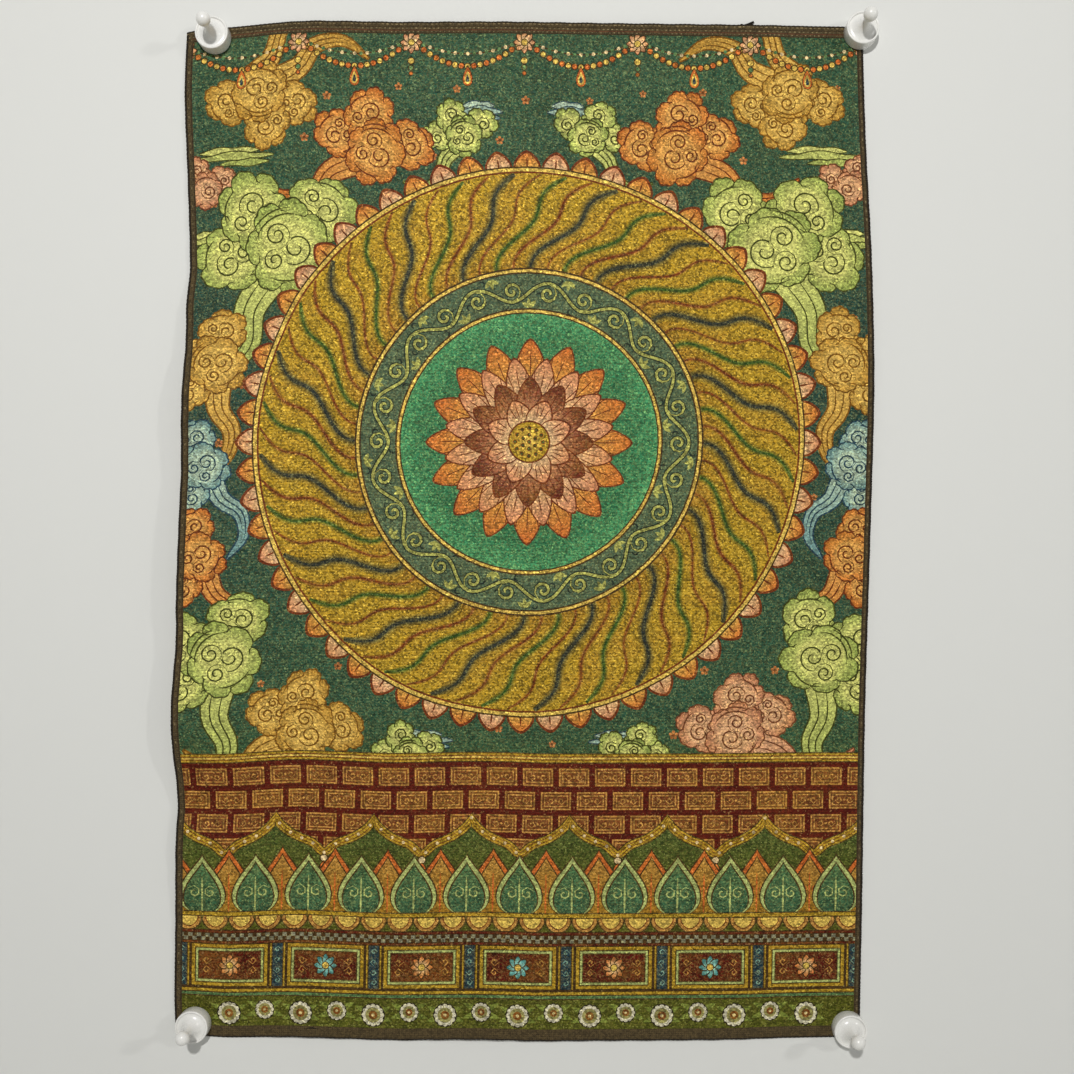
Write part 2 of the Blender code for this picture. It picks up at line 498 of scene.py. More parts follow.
def scalloped(centre, radius, lobes, turn, stretch, lean):
    """A round whose edge is made of lobes, each lobe of three small ones."""
    count = lobes * max(9, int(2 * np.pi * radius / lobes / POINT_SPACING))
    angle = np.linspace(0, 2 * np.pi, count, endpoint=False)
    lobe = 1 - np.abs(np.sin(lobes * angle / 2)) ** 0.8
    small = 1 - np.abs(np.sin(1.5 * lobes * angle)) ** 0.7
    reach = radius * (1 - 0.15 * lobe - 0.045 * small)
    return stretched(polar(angle + turn, reach), stretch, lean) + centre


# A cloud's masses, back ones first, in shares of its half width: (right, down, radius, lobes)
CLOUD_MASSES = (
    (-0.56, -0.06, 0.44, 6),
    (0.60, -0.02, 0.42, 6),
    (0.14, -0.40, 0.46, 7),
    (-0.04, 0.16, 0.54, 7),
)

# A mass's whorl: buds wound tightly against one another, in shares of the mass's radius:
# (turn round the mass, distance from its middle, radius)
WHORL_BUDS = ((0.0, 0.18, 0.44), (2.5, 0.36, 0.32), (4.1, 0.40, 0.28))

# Arcs that echo the whorl: (share of the mass's radius, first and last turn)
WHORL_ECHOES = ((0.72, 1.3, 3.1), (0.85, 1.7, 2.9), (0.74, 4.4, 5.6))

# A cloud's trailing ribbons, in shares of its half width: places along each, and width
CLOUD_TAILS = (
    (((0.10, 0.30), (0.62, 0.62), (0.86, 1.02), (1.36, 1.16), (1.86, 0.90)), 0.44),
    (((-0.30, 0.35), (0.10, 0.78), (0.22, 1.28), (0.70, 1.62), (1.30, 1.56)), 0.38),
)

# The width of a cloud's drawn lines, and the least radius of a mass with a full whorl
INK_WIDTH = 1.5
LEAST_WHORL = 17


def whorl(sheet, centre, radius, start, body, ink, hand):
    """Buds wound against one another, with arcs that echo them; a small mass has one bud."""
    small = radius < LEAST_WHORL
    for turn, gap, share in WHORL_BUDS[: 1 if small else 3]:
        angle = start + turn * hand
        bud = centre + gap * radius * heading(angle)
        size = (0.48 if small else share) * radius
        sheet.fill(disc(bud, size), body)
        sheet.line(spiral(bud, size, 1.9, angle + 2.2 * hand, hand, 0.12), INK_WIDTH, ink)
    for share, first, last in WHORL_ECHOES[: 1 if small else 3]:
        bend = arc(centre, share * radius, start + first * hand, start + last * hand)
        sheet.line(bend, INK_WIDTH, ink)


def cloud_mass(sheet, centre, radius, lobes, out, hues, hand):
    """One lobed mass of a cloud: its outline, a hook where two lobes meet, and a whorl."""
    rim, body, ink = hues
    shape = 1.09, out + 0.5
    sheet.fill(scalloped(centre, radius + 0.9, lobes, out, *shape), ink, DULL)
    paint = round_paint(centre, body, rim, radius, 0.45 * radius)
    sheet.fill(scalloped(centre, radius - 0.6, lobes, out, *shape), paint)
    hook = np.array([(0.93, 0.0), (0.80, 0.04), (0.75, 0.15)]) * radius
    for k, angle, _ in spokes(lobes, turn=out):
        along, across = axes(angle)
        route = hook[:, :1] * along * 0.92 + hook[:, 1:] * (across * (hand if k % 2 else -hand))
        sheet.line(stretched(route, *shape) + centre, INK_WIDTH, ink)
    whorl(sheet, centre, radius, out + 0.7 * hand, body, ink, hand)


def out_of_sight(centre, radius):
    """Whether a round lies off the cloth, under the medallion or under the valance."""
    return (
        abs(centre[0]) > HALF_WIDTH + 0.5 * radius
        or np.hypot(*(centre - MEDALLION)) + radius < RAY_OUTER
        or centre[1] - radius > VALANCE_TOP
    )


def cloud(sheet, right, down, size, turn, tails, hues, hand):
    """A scrolled cloud with trailing ribbons; hand -1 mirrors it."""
    rim, body, ink = hues
    middle = np.array([right, down], float)
    spin = np.array(axes(math.radians(turn)))

    def place(points):
        return middle + (np.asarray(points, float) @ spin) * size * (hand, 1)

    for places, share in CLOUD_TAILS[:tails]:
        route = flowing(place(places), 5.0)
        width = share * size * np.linspace(1, 0, len(route)) ** 0.7
        sheet.line(route, width + 2 * INK_WIDTH, ink, taper=False)
        sheet.line(route, width, fade_paint(route[0], route[-1], body, rim), 0.2, taper=False)
        for offset, stop in ((-0.36, 3), (0.36, 5)):
            sheet.line(sides(route, offset * width)[0][1:-stop], INK_WIDTH - 0.2, ink)
    for number, (across, along, share, lobes) in enumerate(CLOUD_MASSES):
        centre = place([(across, along)])[0]
        away = centre - middle
        if not out_of_sight(centre, share * size):
            out = math.atan2(away[1], away[0])
            cloud_mass(sheet, centre, share * size, lobes, out, hues, hand if number % 2 else -hand)


# A bank of mist's streaks: (start and length in shares of the bank's, height), and their pitch
MIST_STREAKS = ((0.1, 0.72, 5.0), (0.0, 1.0, 5.6), (0.34, 0.6, 4.2))
MIST_PITCH = 5.4


def mist(sheet, left, down, length, hues):
    """A flat bank of mist: long streaks with rounded, uneven upper edges."""
    rim, body, ink = hues
    for row, (start, share, height) in enumerate(MIST_STREAKS):
        t = np.linspace(0, 1, int(share * length / 4.5))
        x = left + (start + share * t) * length
        swell = np.sin(np.pi * t) ** 0.8
        top = down + MIST_PITCH * row - height * swell * (0.5 + 0.5 * np.abs(np.sin(5.5 * t + 2 * row)))
        foot = down + MIST_PITCH * row + 1.8 * swell + 0.9 * np.sin(9 * t + row) * swell
        for grow, paint in ((1.1, ink), (0.0, mix(body, rim, [0.3 * row])[0])):
            upper, lower = np.column_stack([x, top - grow]), np.column_stack([x, foot + grow])
            sheet.fill(np.vstack([upper, lower[::-1]]), paint, 0.4)


def rosette(sheet, centre, radius, pale, deep):
    """Eight petals round a heart."""
    width = 2 * math.pi * radius * 0.74 / 8
    outer, inner = (0.9 * radius, width + 1.2), (0.9 * radius - 0.9, width - 0.9)
    for _, angle, out in spokes(8):
        root, tip = centre + 0.12 * radius * out, centre + radius * out
        sheet.petal(root, tip, angle, outer, inner, (0.7, 0.6, 7), (pale, deep), INK)
    sheet.discs(centre, (0.26 * radius + 0.8, INK, DULL), (0.26 * radius, PALE_GOLD, 0.6))


# The medallion, from the middle outwards
MEDALLION = np.array([0.0, 372.0])
LOTUS_RADIUS = 92
DISC_RADIUS = 115
RING_OUTER = 150
RAY_OUTER = 240
RAY_COUNT = 64
RAY_SWIRL = 0.36
RAY_WAVE = 6.4
RAY_WAVE_LENGTH = 60
RIM_PETALS = 60
RING_SCROLLS = 26

# The rays' colours in turn, each with its full width
RAYS = ((SLATE, 12.5), (RED_BROWN, 5.0), (MOSS, 8.5), (RED_BROWN, 6.6))

# The lotus rosette's layers: petals, tip radius, base radius, width, base colour, tip colour
LOTUS_LAYERS = (
    (16, 92, 30, 31, PALE_GOLD, ORANGE),
    (16, 76, 24, 25, CREAM, SALMON),
    (12, 58, 18, 25, PEACH, DARK_RED),
    (8, 40, 10, 24, CREAM, SALMON),
)


def draw_rays(sheet):
    """Waving rays that swirl out from the ring."""
    reach = np.arange(RING_OUTER - 2, RAY_OUTER + 3, 5.6)
    way = (reach - RING_OUTER) / (RAY_OUTER - RING_OUTER)
    wave = RAY_WAVE * np.sin(2 * np.pi * reach / RAY_WAVE_LENGTH) / reach
    for k, angle, _ in spokes(RAY_COUNT):
        route = MEDALLION + polar(angle + RAY_SWIRL * way + wave, reach)
        colour, width = RAYS[k % len(RAYS)]
        sheet.soft_line(route, width, colour, GOLD, 0.9)
        sheet.line(route, 0.24 * width, colour, 0.4)


def gold_ring(sheet, radius, dark, gold, edge=INK, inner=0):
    """Discs a little past a radius, which leave a gold ring between dark lines."""
    sheet.discs(
        MEDALLION, (radius + dark, INK, DULL), (radius + gold, PALE_GOLD, 0.9),
        (radius + inner, edge, DULL),
    )


def draw_ring(sheet):
    """A slate ring with a vine of scrolls between two gold rings."""
    middle = (DISC_RADIUS + RING_OUTER) / 2 + 0.6
    gold_ring(sheet, RING_OUTER, 4.6, 3.0, inner=0.6)
    sheet.fill(disc(MEDALLION, RING_OUTER - 0.8), RING_SLATE)
    angle = np.linspace(0, 2 * np.pi, 8 * RING_SCROLLS + 1)
    vine = MEDALLION + polar(angle, middle + 8.6 * np.cos(RING_SCROLLS / 2 * angle))
    for k, turn, _ in spokes(2 * RING_SCROLLS, 0.5):
        centre = MEDALLION + polar(turn, middle + (12.2, -12.2, 3.4, -3.4)[k % 4])[0]
        sheet.line(arc(centre, 2.6, turn + 1.9 * k, turn + 1.9 * k + 3.6), 1.6, RING_INK)
    sheet.line(vine, 4.6, RING_INK, taper=False)
    sheet.line(vine, 2.5, RING_SCROLL, 0.7, taper=False)
    for k, turn, _ in spokes(RING_SCROLLS):
        # Each scroll leaves the vine at its crest and winds back towards the other side
        outward = -1 if k % 2 else 1
        centre = MEDALLION + polar(turn, middle - 0.9 * outward)[0]
        curl = spiral(centre, 8.8, 1.4, turn + math.pi * (outward < 0), outward)
        sheet.line(curl, 4.4, RING_INK)
        sheet.line(curl, 2.4, RING_SCROLL, 0.7)
        root = MEDALLION + polar(turn + 0.118, middle + 13.8 * outward)[0]
        for lean in (-0.85, 0.0, 0.85):
            way = turn + math.pi * (outward > 0) + lean
            sheet.fill(petal(root, way, 8.4, 3.8, steps=6), RING_SCROLL, 0.7)
    gold_ring(sheet, DISC_RADIUS, 3.6, 2.2)


def draw_lotus(sheet):
    """An open lotus seen from above on an emerald disc."""
    paint = round_paint(MEDALLION, DEEP_EMERALD, EMERALD, DISC_RADIUS - 2, LOTUS_RADIUS)
    sheet.fill(disc(MEDALLION, DISC_RADIUS - 1.2), paint)
    for layer, (count, far, near, width, *fade) in enumerate(LOTUS_LAYERS):
        length = far - near
        outer, inner = (length, width), (length - 1.8, width - 2.4)
        for _, angle, out in spokes(count, 0.5 * (layer % 2)):
            root, tip = MEDALLION + near * out, MEDALLION + far * out
            sheet.petal(root, tip, angle, outer, inner, (0.75, 0.6, 11), fade, RED_BROWN)
            for lean in (-0.22, 0.0, 0.22):
                way = heading(angle + lean)
                vein = np.linspace(root + 0.42 * length * way, root + 0.8 * length * way, 5)
                sheet.line(vein, 0.9, RED_BROWN)
    heart = round_paint(MEDALLION, PALE_GOLD, GOLD, 17)
    sheet.discs(MEDALLION, (19, RED_BROWN, DULL), (17.6, heart, 0.9))
    for ring, (count, reach) in enumerate(((1, 0), (6, 6.2), (12, 12.4))):
        for _, _, out in spokes(count, 0.5 * ring):
            sheet.discs(MEDALLION + reach * out, (1.9, RED_BROWN, DULL), (1.05, MOSS, 0.5))


def draw_medallion(sheet):
    for k, angle, out in spokes(RIM_PETALS):
        root, tip = MEDALLION + (RAY_OUTER - 3) * out, MEDALLION + (RAY_OUTER + 19) * out
        fade = (PALE_GOLD, ORANGE) if k % 2 else (CREAM, SALMON)
        outer, inner = (22, 25), (19.4, 21.4)
        sheet.petal(root, tip, angle, outer, inner, (0.62, 0.6, 9), fade, RED_BROWN, 0.6)
        sheet.line(np.linspace(root + 5 * out, root + 15 * out, 4), 1.5, RED_BROWN)
    gold_ring(sheet, RAY_OUTER, 4.6, 3.2, RED_BROWN, 0.2)
    paint = round_paint(MEDALLION, DEEP_GOLD, GOLD, RING_OUTER + 26, RING_OUTER)
    sheet.fill(disc(MEDALLION, RAY_OUTER - 1.4), paint, 1.0)
    draw_rays(sheet)
    draw_ring(sheet)
    draw_lotus(sheet)


# Clouds in mirrored pairs: how far right and down the right one's middle lies, half width, turn,
# how many ribbons trail from each, then the left and the right one's colours
CLOUDS = (
    (236, 68, 50, 174, 2, GOLD_CLOUD, GOLD_CLOUD),
    (58, 96, 34, 14, 1, GREEN_CLOUD, GREEN_CLOUD),
    (136, 106, 54, -10, 1, ORANGE_CLOUD, ORANGE_CLOUD),
    (290, 140, 30, 8, 0, SALMON_CLOUD, SALMON_CLOUD),
    (224, 190, 76, 24, 1, GREEN_CLOUD, GREEN_CLOUD),
    (284, 300, 50, 60, 1, GOLD_CLOUD, GOLD_CLOUD),
    (292, 394, 42, 84, 1, BLUE_CLOUD, BLUE_CLOUD),
    (294, 474, 44, 80, 1, ORANGE_CLOUD, ORANGE_CLOUD),
    (272, 560, 62, 50, 1, GREEN_CLOUD, GREEN_CLOUD),
    (190, 622, 52, -14, 1, GOLD_CLOUD, SALMON_CLOUD),
    (100, 646, 32, 8, 0, GREEN_CLOUD, GREEN_CLOUD),
)

# Banks of mist: how far the inner end lies from the middle, down, length and colours
MISTS = (
    (226, 112, 74, GREEN_CLOUD),
    (20, 74, 40, BLUE_CLOUD),
    (262, 186, 44, GREEN_CLOUD),
    (60, 632, 54, BLUE_CLOUD),
)

# The florets' rows and columns, how far apart they lie and how far each one strays
FLORET_ROWS = 12
FLORET_COLUMNS = 11
FLORET_STEP = (56, 52)
FLORET_STRAY = 9
FLORET_TOP = 60


def draw_sky(sheet):
    """Florets strewn over the ground, banks of mist and clouds."""
    draw = np.random.default_rng(7)
    for row in range(FLORET_ROWS):
        for column in range(FLORET_COLUMNS):
            x = (column - FLORET_COLUMNS // 2 + 0.5 * (row % 2)) * FLORET_STEP[0]
            x += draw.uniform(-FLORET_STRAY, FLORET_STRAY)
            down = FLORET_TOP + row * FLORET_STEP[1] + draw.uniform(-FLORET_STRAY, FLORET_STRAY)
            size = draw.uniform(3.4, 4.4)
            clear = math.hypot(x - MEDALLION[0], down - MEDALLION[1]) > RAY_OUTER + 14
            if clear and abs(x) < HALF_WIDTH:
                for _, _, out in spokes(5, turn=-math.pi / 2):
                    sheet.fill(disc((x, down) + size * 0.62 * out, size * 0.36), RUST, 0.4)
                sheet.fill(disc((x, down), size * 0.3), RED_BROWN, 0.3)
    for inner, down, length, hues in MISTS:
        for left in (-inner - length, inner):
            mist(sheet, left, down, length, hues)
    for right, down, size, turn, tails, *both in CLOUDS:
        for hand, hues in zip((-1, 1), both):
            cloud(sheet, hand * right, down, size, turn, tails, hues, hand)


# The garlands across the top
SWAG_COUNT = 6
SWAG_TOP = 15
SWAG_DROP = 24
SWAG_STRINGS = ((SWAG_DROP, 2.3, ORANGE, PALE_GOLD), (SWAG_DROP * 0.55, 1.7, LEAF, CREAM))


def draw_garlands(sheet):
    """Strings of beads hung in swags, a rosette and a pendant where they meet."""
    span = CLOTH_WIDTH / SWAG_COUNT
    across = np.linspace(-0.5, 0.5, 2 * int(span / 11) + 1)
    for k in range(SWAG_COUNT):
        middle = (k + 0.5) * span - HALF_WIDTH
        for drop, bead, *colours in SWAG_STRINGS:
            down = SWAG_TOP + drop * (1 - (2 * across) ** 2)
            route = np.column_stack([middle + across * span, down])
            sheet.line(route, 1.2, INK, 0.2, taper=False)
            for i, place in enumerate(route):
                if bead > 2:
                    sheet.fill(disc(place, bead + 0.9), INK, DULL)
                sheet.fill(disc(place, bead), colours[i % 2], 0.7)
        jewel = np.array([middle, SWAG_TOP + SWAG_DROP + 12])
        for size, colour in ((9.5, INK), (8.2, ORANGE), (5.6, PALE_GOLD), (3.2, NAVY)):
            sheet.fill(petal(jewel + (0, 0.62 * size), UP, 2 * size, size, 0.6, 0.8), colour)
    for k in range(SWAG_COUNT + 1):
        place = np.array([k * span - HALF_WIDTH, SWAG_TOP + 3])
        for gap, size, colour in ((16, 2.6, PALE_GOLD), (22, 2.0, LEAF), (27, 1.5, ORANGE)):
            sheet.discs(place + (0, gap), (size + 0.8, INK, DULL), (size, colour, 0.7))
        rosette(sheet, place, 10, CREAM, SALMON)


# The bands across the foot: (from the top) valance, petals, checks, frieze, flowers
VALANCE_TOP = 652
VALANCE_EDGE = 706
VALANCE_DEPTH = 32
VALANCE_FOOT = VALANCE_EDGE + VALANCE_DEPTH
LAPPET_COUNT = 7
PETAL_FOOT = 792
PETAL_COUNT = 13
# The upright petals' rows: length, width, colours of the tip, the root and the edge
PETAL_ROWS = ((60, 47, TAN, DEEP_GOLD, ORANGE), (54, 46, LEAF, DEEP_LEAF, PALE_LEAF))
CHECK_TOP = 808
CHECK_WIDTH = 3.8
CHECK_HEIGHT = 3.2
FRIEZE_TOP = 818
FRIEZE_FOOT = 858
PANEL_COUNT = 7
FLOWER_LINE = 879
FLOWER_COUNT = 19
BRICK_WIDTH = 32
BRICK_HEIGHT = 21
BRICK_GAP = 5.2
BRICK_COLUMNS = 11
BRICK_EDGES = ((0, TAN, 0.8), (1.3, BRICK_RED, 0.4), (2.8, TAN, 0.8), (3.8, BRICK_RED, 0.4))


def lappet_edge():
    """The valance's lower edge: round lappets, each with a small point."""
    span = CLOTH_WIDTH / LAPPET_COUNT
    u = np.linspace(-1, 1, 26, endpoint=False)
    sag = 0.74 * np.cos(0.5 * np.pi * u) ** 0.62 + 0.26 * np.exp(-((u / 0.17) ** 2))
    down = VALANCE_EDGE + VALANCE_DEPTH * sag
    route = [
        np.column_stack([-HALF_WIDTH + (k + 0.5 + 0.5 * u) * span, down]) for k in range(LAPPET_COUNT)
    ]
    return np.vstack(route + [[(HALF_WIDTH, VALANCE_EDGE)]])


def draw_brick(sheet, left, top):
    """One gold-edged brick: an outline, an inner line, two small scrolls and a bead."""
    right, bottom = left + BRICK_WIDTH - BRICK_GAP, top + BRICK_HEIGHT - BRICK_GAP
    for inset, colour, gleam in BRICK_EDGES:
        sheet.fill(box(left + inset, top + inset, right - inset, bottom - inset), colour, gleam)
    middle = np.array([(left + right) / 2, (top + bottom) / 2])
    for side in (-1, 1):
        curl = spiral(middle + (side * 4.8, 0), 3.6, 1.1, math.pi * (side < 0), side, 0.25)
        sheet.line(curl, 1.3, TAN, 0.8)
    sheet.fill(disc(middle, 1.2), TAN, 0.8)


def draw_valance(sheet):
    """A dark red valance of gold bricks with a beaded edge of lappets."""
    sheet.band(VALANCE_TOP, VALANCE_FOOT + 4, DARK_RED, 0.1)
    for row in range(int((VALANCE_FOOT - VALANCE_TOP) / BRICK_HEIGHT) + 1):
        for column in range(-BRICK_COLUMNS, BRICK_COLUMNS):
            left = (column + 0.5 * (row % 2)) * BRICK_WIDTH + 1.6
            draw_brick(sheet, left, VALANCE_TOP + 9 + row * BRICK_HEIGHT)
    edge = lappet_edge()
    foot = VALANCE_FOOT + 24
    sheet.fill(np.vstack([edge, [(SPREAD, foot), (-SPREAD, foot)]]), ground_paint)
    for width, colour in ((8.6, INK), (6.6, GOLD), (3.4, RED_BROWN), (2.0, GOLD)):
        sheet.line(edge, width, colour, 0.8, taper=False)
    for place in edge[::3]:
        sheet.fill(disc(place, 1.5), CREAM)
    sheet.stripes(VALANCE_TOP, (9, INK), (7, GOLD), (3.6, RED_BROWN), (1.6, PALE_GOLD))
    for k in range(LAPPET_COUNT):
        tip = np.array([(k + 0.5) * CLOTH_WIDTH / LAPPET_COUNT - HALF_WIDTH, VALANCE_FOOT + 5])
        sheet.discs(tip, (3.8, INK, DULL), (2.9, CREAM, 0.6))
        sheet.fill(petal(tip + (0, 12), UP, 10, 8.5), INK, DULL)
        sheet.fill(petal(tip + (0, 11), UP, 8, 6.4), ORANGE, 0.6)


def draw_petal_band(sheet):
    """Two rows of upright lotus petals over a row of turned-down ones."""
    for row, (length, width, tip, root, edge) in enumerate(PETAL_ROWS):
        for k in range(PETAL_COUNT + 1 - row):
            x = (k + 0.5 * row) * (CLOTH_WIDTH / PETAL_COUNT) - HALF_WIDTH
            foot = np.array([x, PETAL_FOOT])
            for inset, colour in ((0, INK), (1.5, edge), (5.2, INK)):
                sheet.fill(ogee(foot, UP, length - 1.3 * inset, width - 1.7 * inset), colour, 0.3)
            paint = fade_paint(foot, foot - (0, length), root, tip)
            sheet.fill(ogee(foot, UP, length - 8.6, width - 11.4), paint)
            for side in (-1, 1):
                centre = foot + (side * 7, -0.36 * length)
                curl = spiral(centre, 6.4, 1.3, math.pi * (side < 0) - 0.5 * side, -side)
                sheet.line(curl, 1.3, edge, 0.5)
            sheet.line(np.linspace(foot, foot - (0, 0.62 * length), 5), 1.6, edge, 0.5)
    for k in range(2 * PETAL_COUNT):
        top = np.array([(k + 0.5) * CLOTH_WIDTH / (2 * PETAL_COUNT) - HALF_WIDTH, PETAL_FOOT])
        for inset, colour in ((0, INK), (1.2, TAN), (3.6, RED_BROWN), (4.6, PALE_GOLD)):
            sheet.fill(petal(top, -UP, 16 - inset, 24 - 1.8 * inset, 0.6, 0.5), colour, 0.6)
    sheet.stripes(PETAL_FOOT, (5, INK), (3, GOLD))


def draw_frieze(sheet):
    """Framed panels with rosettes between posts, under a row of checks."""
    sheet.band(CHECK_TOP - 2, FRIEZE_FOOT + 8, INK, DULL)
    sheet.band(CHECK_TOP - 1, CHECK_TOP + 1, DARK_RED, 0.3)
    for k in range(int(CLOTH_WIDTH / CHECK_WIDTH) + 1):
        left = k * CHECK_WIDTH - HALF_WIDTH
        top = CHECK_TOP + 1.6 + CHECK_HEIGHT * (1 - k % 2)
        sheet.fill(box(left, top, left + CHECK_WIDTH, top + CHECK_HEIGHT), GREY_GREEN, 0.4)
    sheet.band(CHECK_TOP + 8.6, CHECK_TOP + 10.4, DARK_RED, 0.6)
    sheet.band(FRIEZE_FOOT + 1.2, FRIEZE_FOOT + 3.6, GOLD, 0.6)
    sheet.band(FRIEZE_FOOT + 4.6, FRIEZE_FOOT + 7, LEAF, 0.6)
    span = (CLOTH_WIDTH - 12) / PANEL_COUNT
    middle = (FRIEZE_TOP + FRIEZE_FOOT) / 2
    rise = (FRIEZE_FOOT - FRIEZE_TOP) / 2
    half = span / 2 - 9
    for k in range(PANEL_COUNT):
        x = (k + 0.5 - PANEL_COUNT / 2) * span
        for inset, colour in ((1.5, GOLD), (4.2, INK), (5.2, PALE_LEAF), (7, INK), (8, DARK_RED)):
            left, right = x - half + inset - 1.5, x + half - inset + 1.5
            sheet.fill(box(left, middle - rise + inset, right, middle + rise - inset), colour, 0.6)
        for side, up in ((-1, -1), (-1, 1), (1, -1), (1, 1)):
            centre = (x + side * (half - 13), middle + up * 4.6)
            sheet.line(spiral(centre, 4.4, 1.2, math.pi * (side > 0), side * up), 1.3, TAN, 0.7)
        rosette(sheet, (x, middle), 10.5, *((AQUA, DEEP_AQUA) if k % 2 else (CREAM, ORANGE)))
    for k in range(PANEL_COUNT + 1):
        x = (k - PANEL_COUNT / 2) * span
        for half, colour in ((6.6, GOLD), (5.4, INK), (4.4, NAVY)):
            sheet.fill(box(x - half, FRIEZE_TOP + 1, x + half, FRIEZE_FOOT - 1), colour)
        for i in range(4):
            centre = (x, FRIEZE_TOP + 6.5 + 9 * i)
            curl = spiral(centre, 3.3, 1.1, 0.5 * math.pi * i, 1 if i % 2 else -1)
            sheet.line(curl, 1.1, MIST_GREEN, 0.5)


def draw_flower_strip(sheet):
    """Round flowers and leaves in a row over the olive ground."""
    for k in range(1, FLOWER_COUNT - 1):
        size, lower = (1.08, 1.4) if k % 2 else (0.9, -1.4)
        x = (k + 0.5) * (CLOTH_WIDTH / FLOWER_COUNT) - HALF_WIDTH
        centre = np.array([x, FLOWER_LINE + lower])
        for angle in (math.pi - 0.32, math.pi + 0.46, 0.32, -0.46):
            sheet.fill(petal(centre, angle, 17.5, 5.4, steps=7), PALE_OLIVE)
        sheet.fill(disc(centre, 9.9 * size), DARK_OLIVE, DULL)
        for _, _, out in spokes(12):
            sheet.fill(disc(centre + 7.1 * size * out, 2.2 * size), PALE_GREY, 0.4)
        for reach, colour in ((6.3, SAGE), (3.6, COPPER), (1.4, STRAW)):
            sheet.fill(disc(centre, reach * size), colour)


def draw_border(sheet):
    """The serged border: brown, darker at the rim, with rows of stitches."""
    sheet.border = True
    left, top, right, bottom = INNER
    rim = (RIM_WIDTH - HALF_WIDTH, RIM_TOP, HALF_WIDTH - RIM_WIDTH, CLOTH_HEIGHT - RIM_FOOT)
    low, high, wide = -20, CLOTH_HEIGHT + 28, 320
    for inner, colour, gleam in ((INNER, BORDER_BROWN, DULL), (rim, BORDER_DARK, 0.05)):
        for loop in (
            box(-wide, low, wide, inner[1]), box(-wide, inner[3], wide, high),
            box(-wide, inner[1], inner[0], inner[3]), box(inner[2], inner[1], wide, inner[3]),
        ):
            sheet.fill(loop, colour, gleam)
    lines = ((4.0, 0.7, BORDER_SHADE), (7.0, 0.9, BORDER_RED), (9.5, 1.0, BORDER_SHADE))
    for down, width, colour in lines:
        sheet.fill(box(left - 1, down, right + 1, down + width), colour, 0.1)
    # A dark thread caught in the lower edge
    caught = np.array([(-187, bottom + 1.9), (-181.5, bottom + 1.5), (-177.5, bottom + 2.3)])
    sheet.line(caught, 1.3, BLACK, 0.05)
    for x in (left - 1.3, right + 0.1):
        sheet.fill(box(x, top, x + 1.2, bottom), BORDER_SHADE, 0.1)
    draw = np.random.default_rng(11)
    for row, (down, size) in enumerate(((1.7, 2.2), (5.3, 1.6), (top - 2.2, 1.2))):
        for k in range(int(CLOTH_WIDTH / STITCH_PITCH)):
            x = (k + 0.5 * (row % 2)) * STITCH_PITCH - HALF_WIDTH + draw.uniform(-0.2, 0.2)
            colour = draw.uniform(0.72, 1.06) * BORDER_DASH
            sheet.fill(box(x, down, x + size, down + 0.8), colour, 0.2)
    for x in (-HALF_WIDTH + 3.0, HALF_WIDTH - 3.4):
        for k in range(int(CLOTH_HEIGHT / (2 * STITCH_PITCH))):
            down = (k + 0.5) * 2 * STITCH_PITCH + draw.uniform(-0.3, 0.3)
            colour = draw.uniform(0.62, 0.95) * BORDER_DASH
            sheet.fill(box(x, down, x + 0.9, down + 2.2), colour, 0.2)


def draw_design():
    sheet = Drawing()
    sheet.band(-10, CLOTH_HEIGHT + 10, ground_paint, 0.45)
    for draw_part in (
        draw_sky, draw_garlands, draw_medallion, draw_valance, draw_petal_band, draw_frieze,
        draw_flower_strip, draw_border,
    ):
        draw_part(sheet)
    return sheet.shapes


# From shapes to triangles


def winding(loop, x, y):
    """How many times a loop runs round each place."""
    x0, y0 = loop[:, 0][:, None], loop[:, 1][:, None]
    x1, y1 = np.roll(x0, -1, axis=0), np.roll(y0, -1, axis=0)
    turns = np.zeros(len(x), int)
    most = max(1, TESTS_AT_ONCE // len(loop))
    for first in range(0, len(x), most):
        px, py = x[first : first + most], y[first : first + most]
        side = (x1 - x0) * (py - y0) - (px - x0) * (y1 - y0)
        up = (y0 <= py) & (y1 > py) & (side > 0)
        down = (y0 > py) & (y1 <= py) & (side < 0)
        turns[first : first + most] = up.sum(axis=0) - down.sum(axis=0)
    return turns


def owners_of(places, shapes):
    """The number of the shape that lies on top at each place, -1 off the cloth."""
    order = np.argsort(places[:, 0])
    x, y = places[order].T
    owner = np.full(len(places), -1)
    for number, (loop, *_) in enumerate(shapes):
        low, high = loop.min(axis=0), loop.max(axis=0)
        first, last = np.searchsorted(x, (low[0], high[0]))
        near = first + np.flatnonzero((y[first:last] >= low[1]) & (y[first:last] <= high[1]))
        owner[order[near[winding(loop, x[near], y[near]) != 0]]] = number
    owner[np.min(edge_distances(places), axis=0) < 0] = -1
    return owner


def triangulate(points, edges):
    """Triangles on the points that keep the edges, all facing one way, with none a mere line."""
    corners = [Vector(point) for point in points.tolist()]
    found = delaunay_2d_cdt(corners, edges.tolist(), [], 0, WELD, False)
    points, faces = np.array([tuple(p) for p in found[0]]), np.array(found[2])
    a, b, c = (points[faces[:, i]] for i in range(3))
    area = (b - a)[:, 0] * (c - a)[:, 1] - (b - a)[:, 1] * (c - a)[:, 0]
    faces[area > 0] = faces[area > 0][:, ::-1]
    on_edge = np.abs(edge_distances(points)) < WELD
    return points, faces[~on_edge[:, faces].all(axis=2).any(axis=0)]


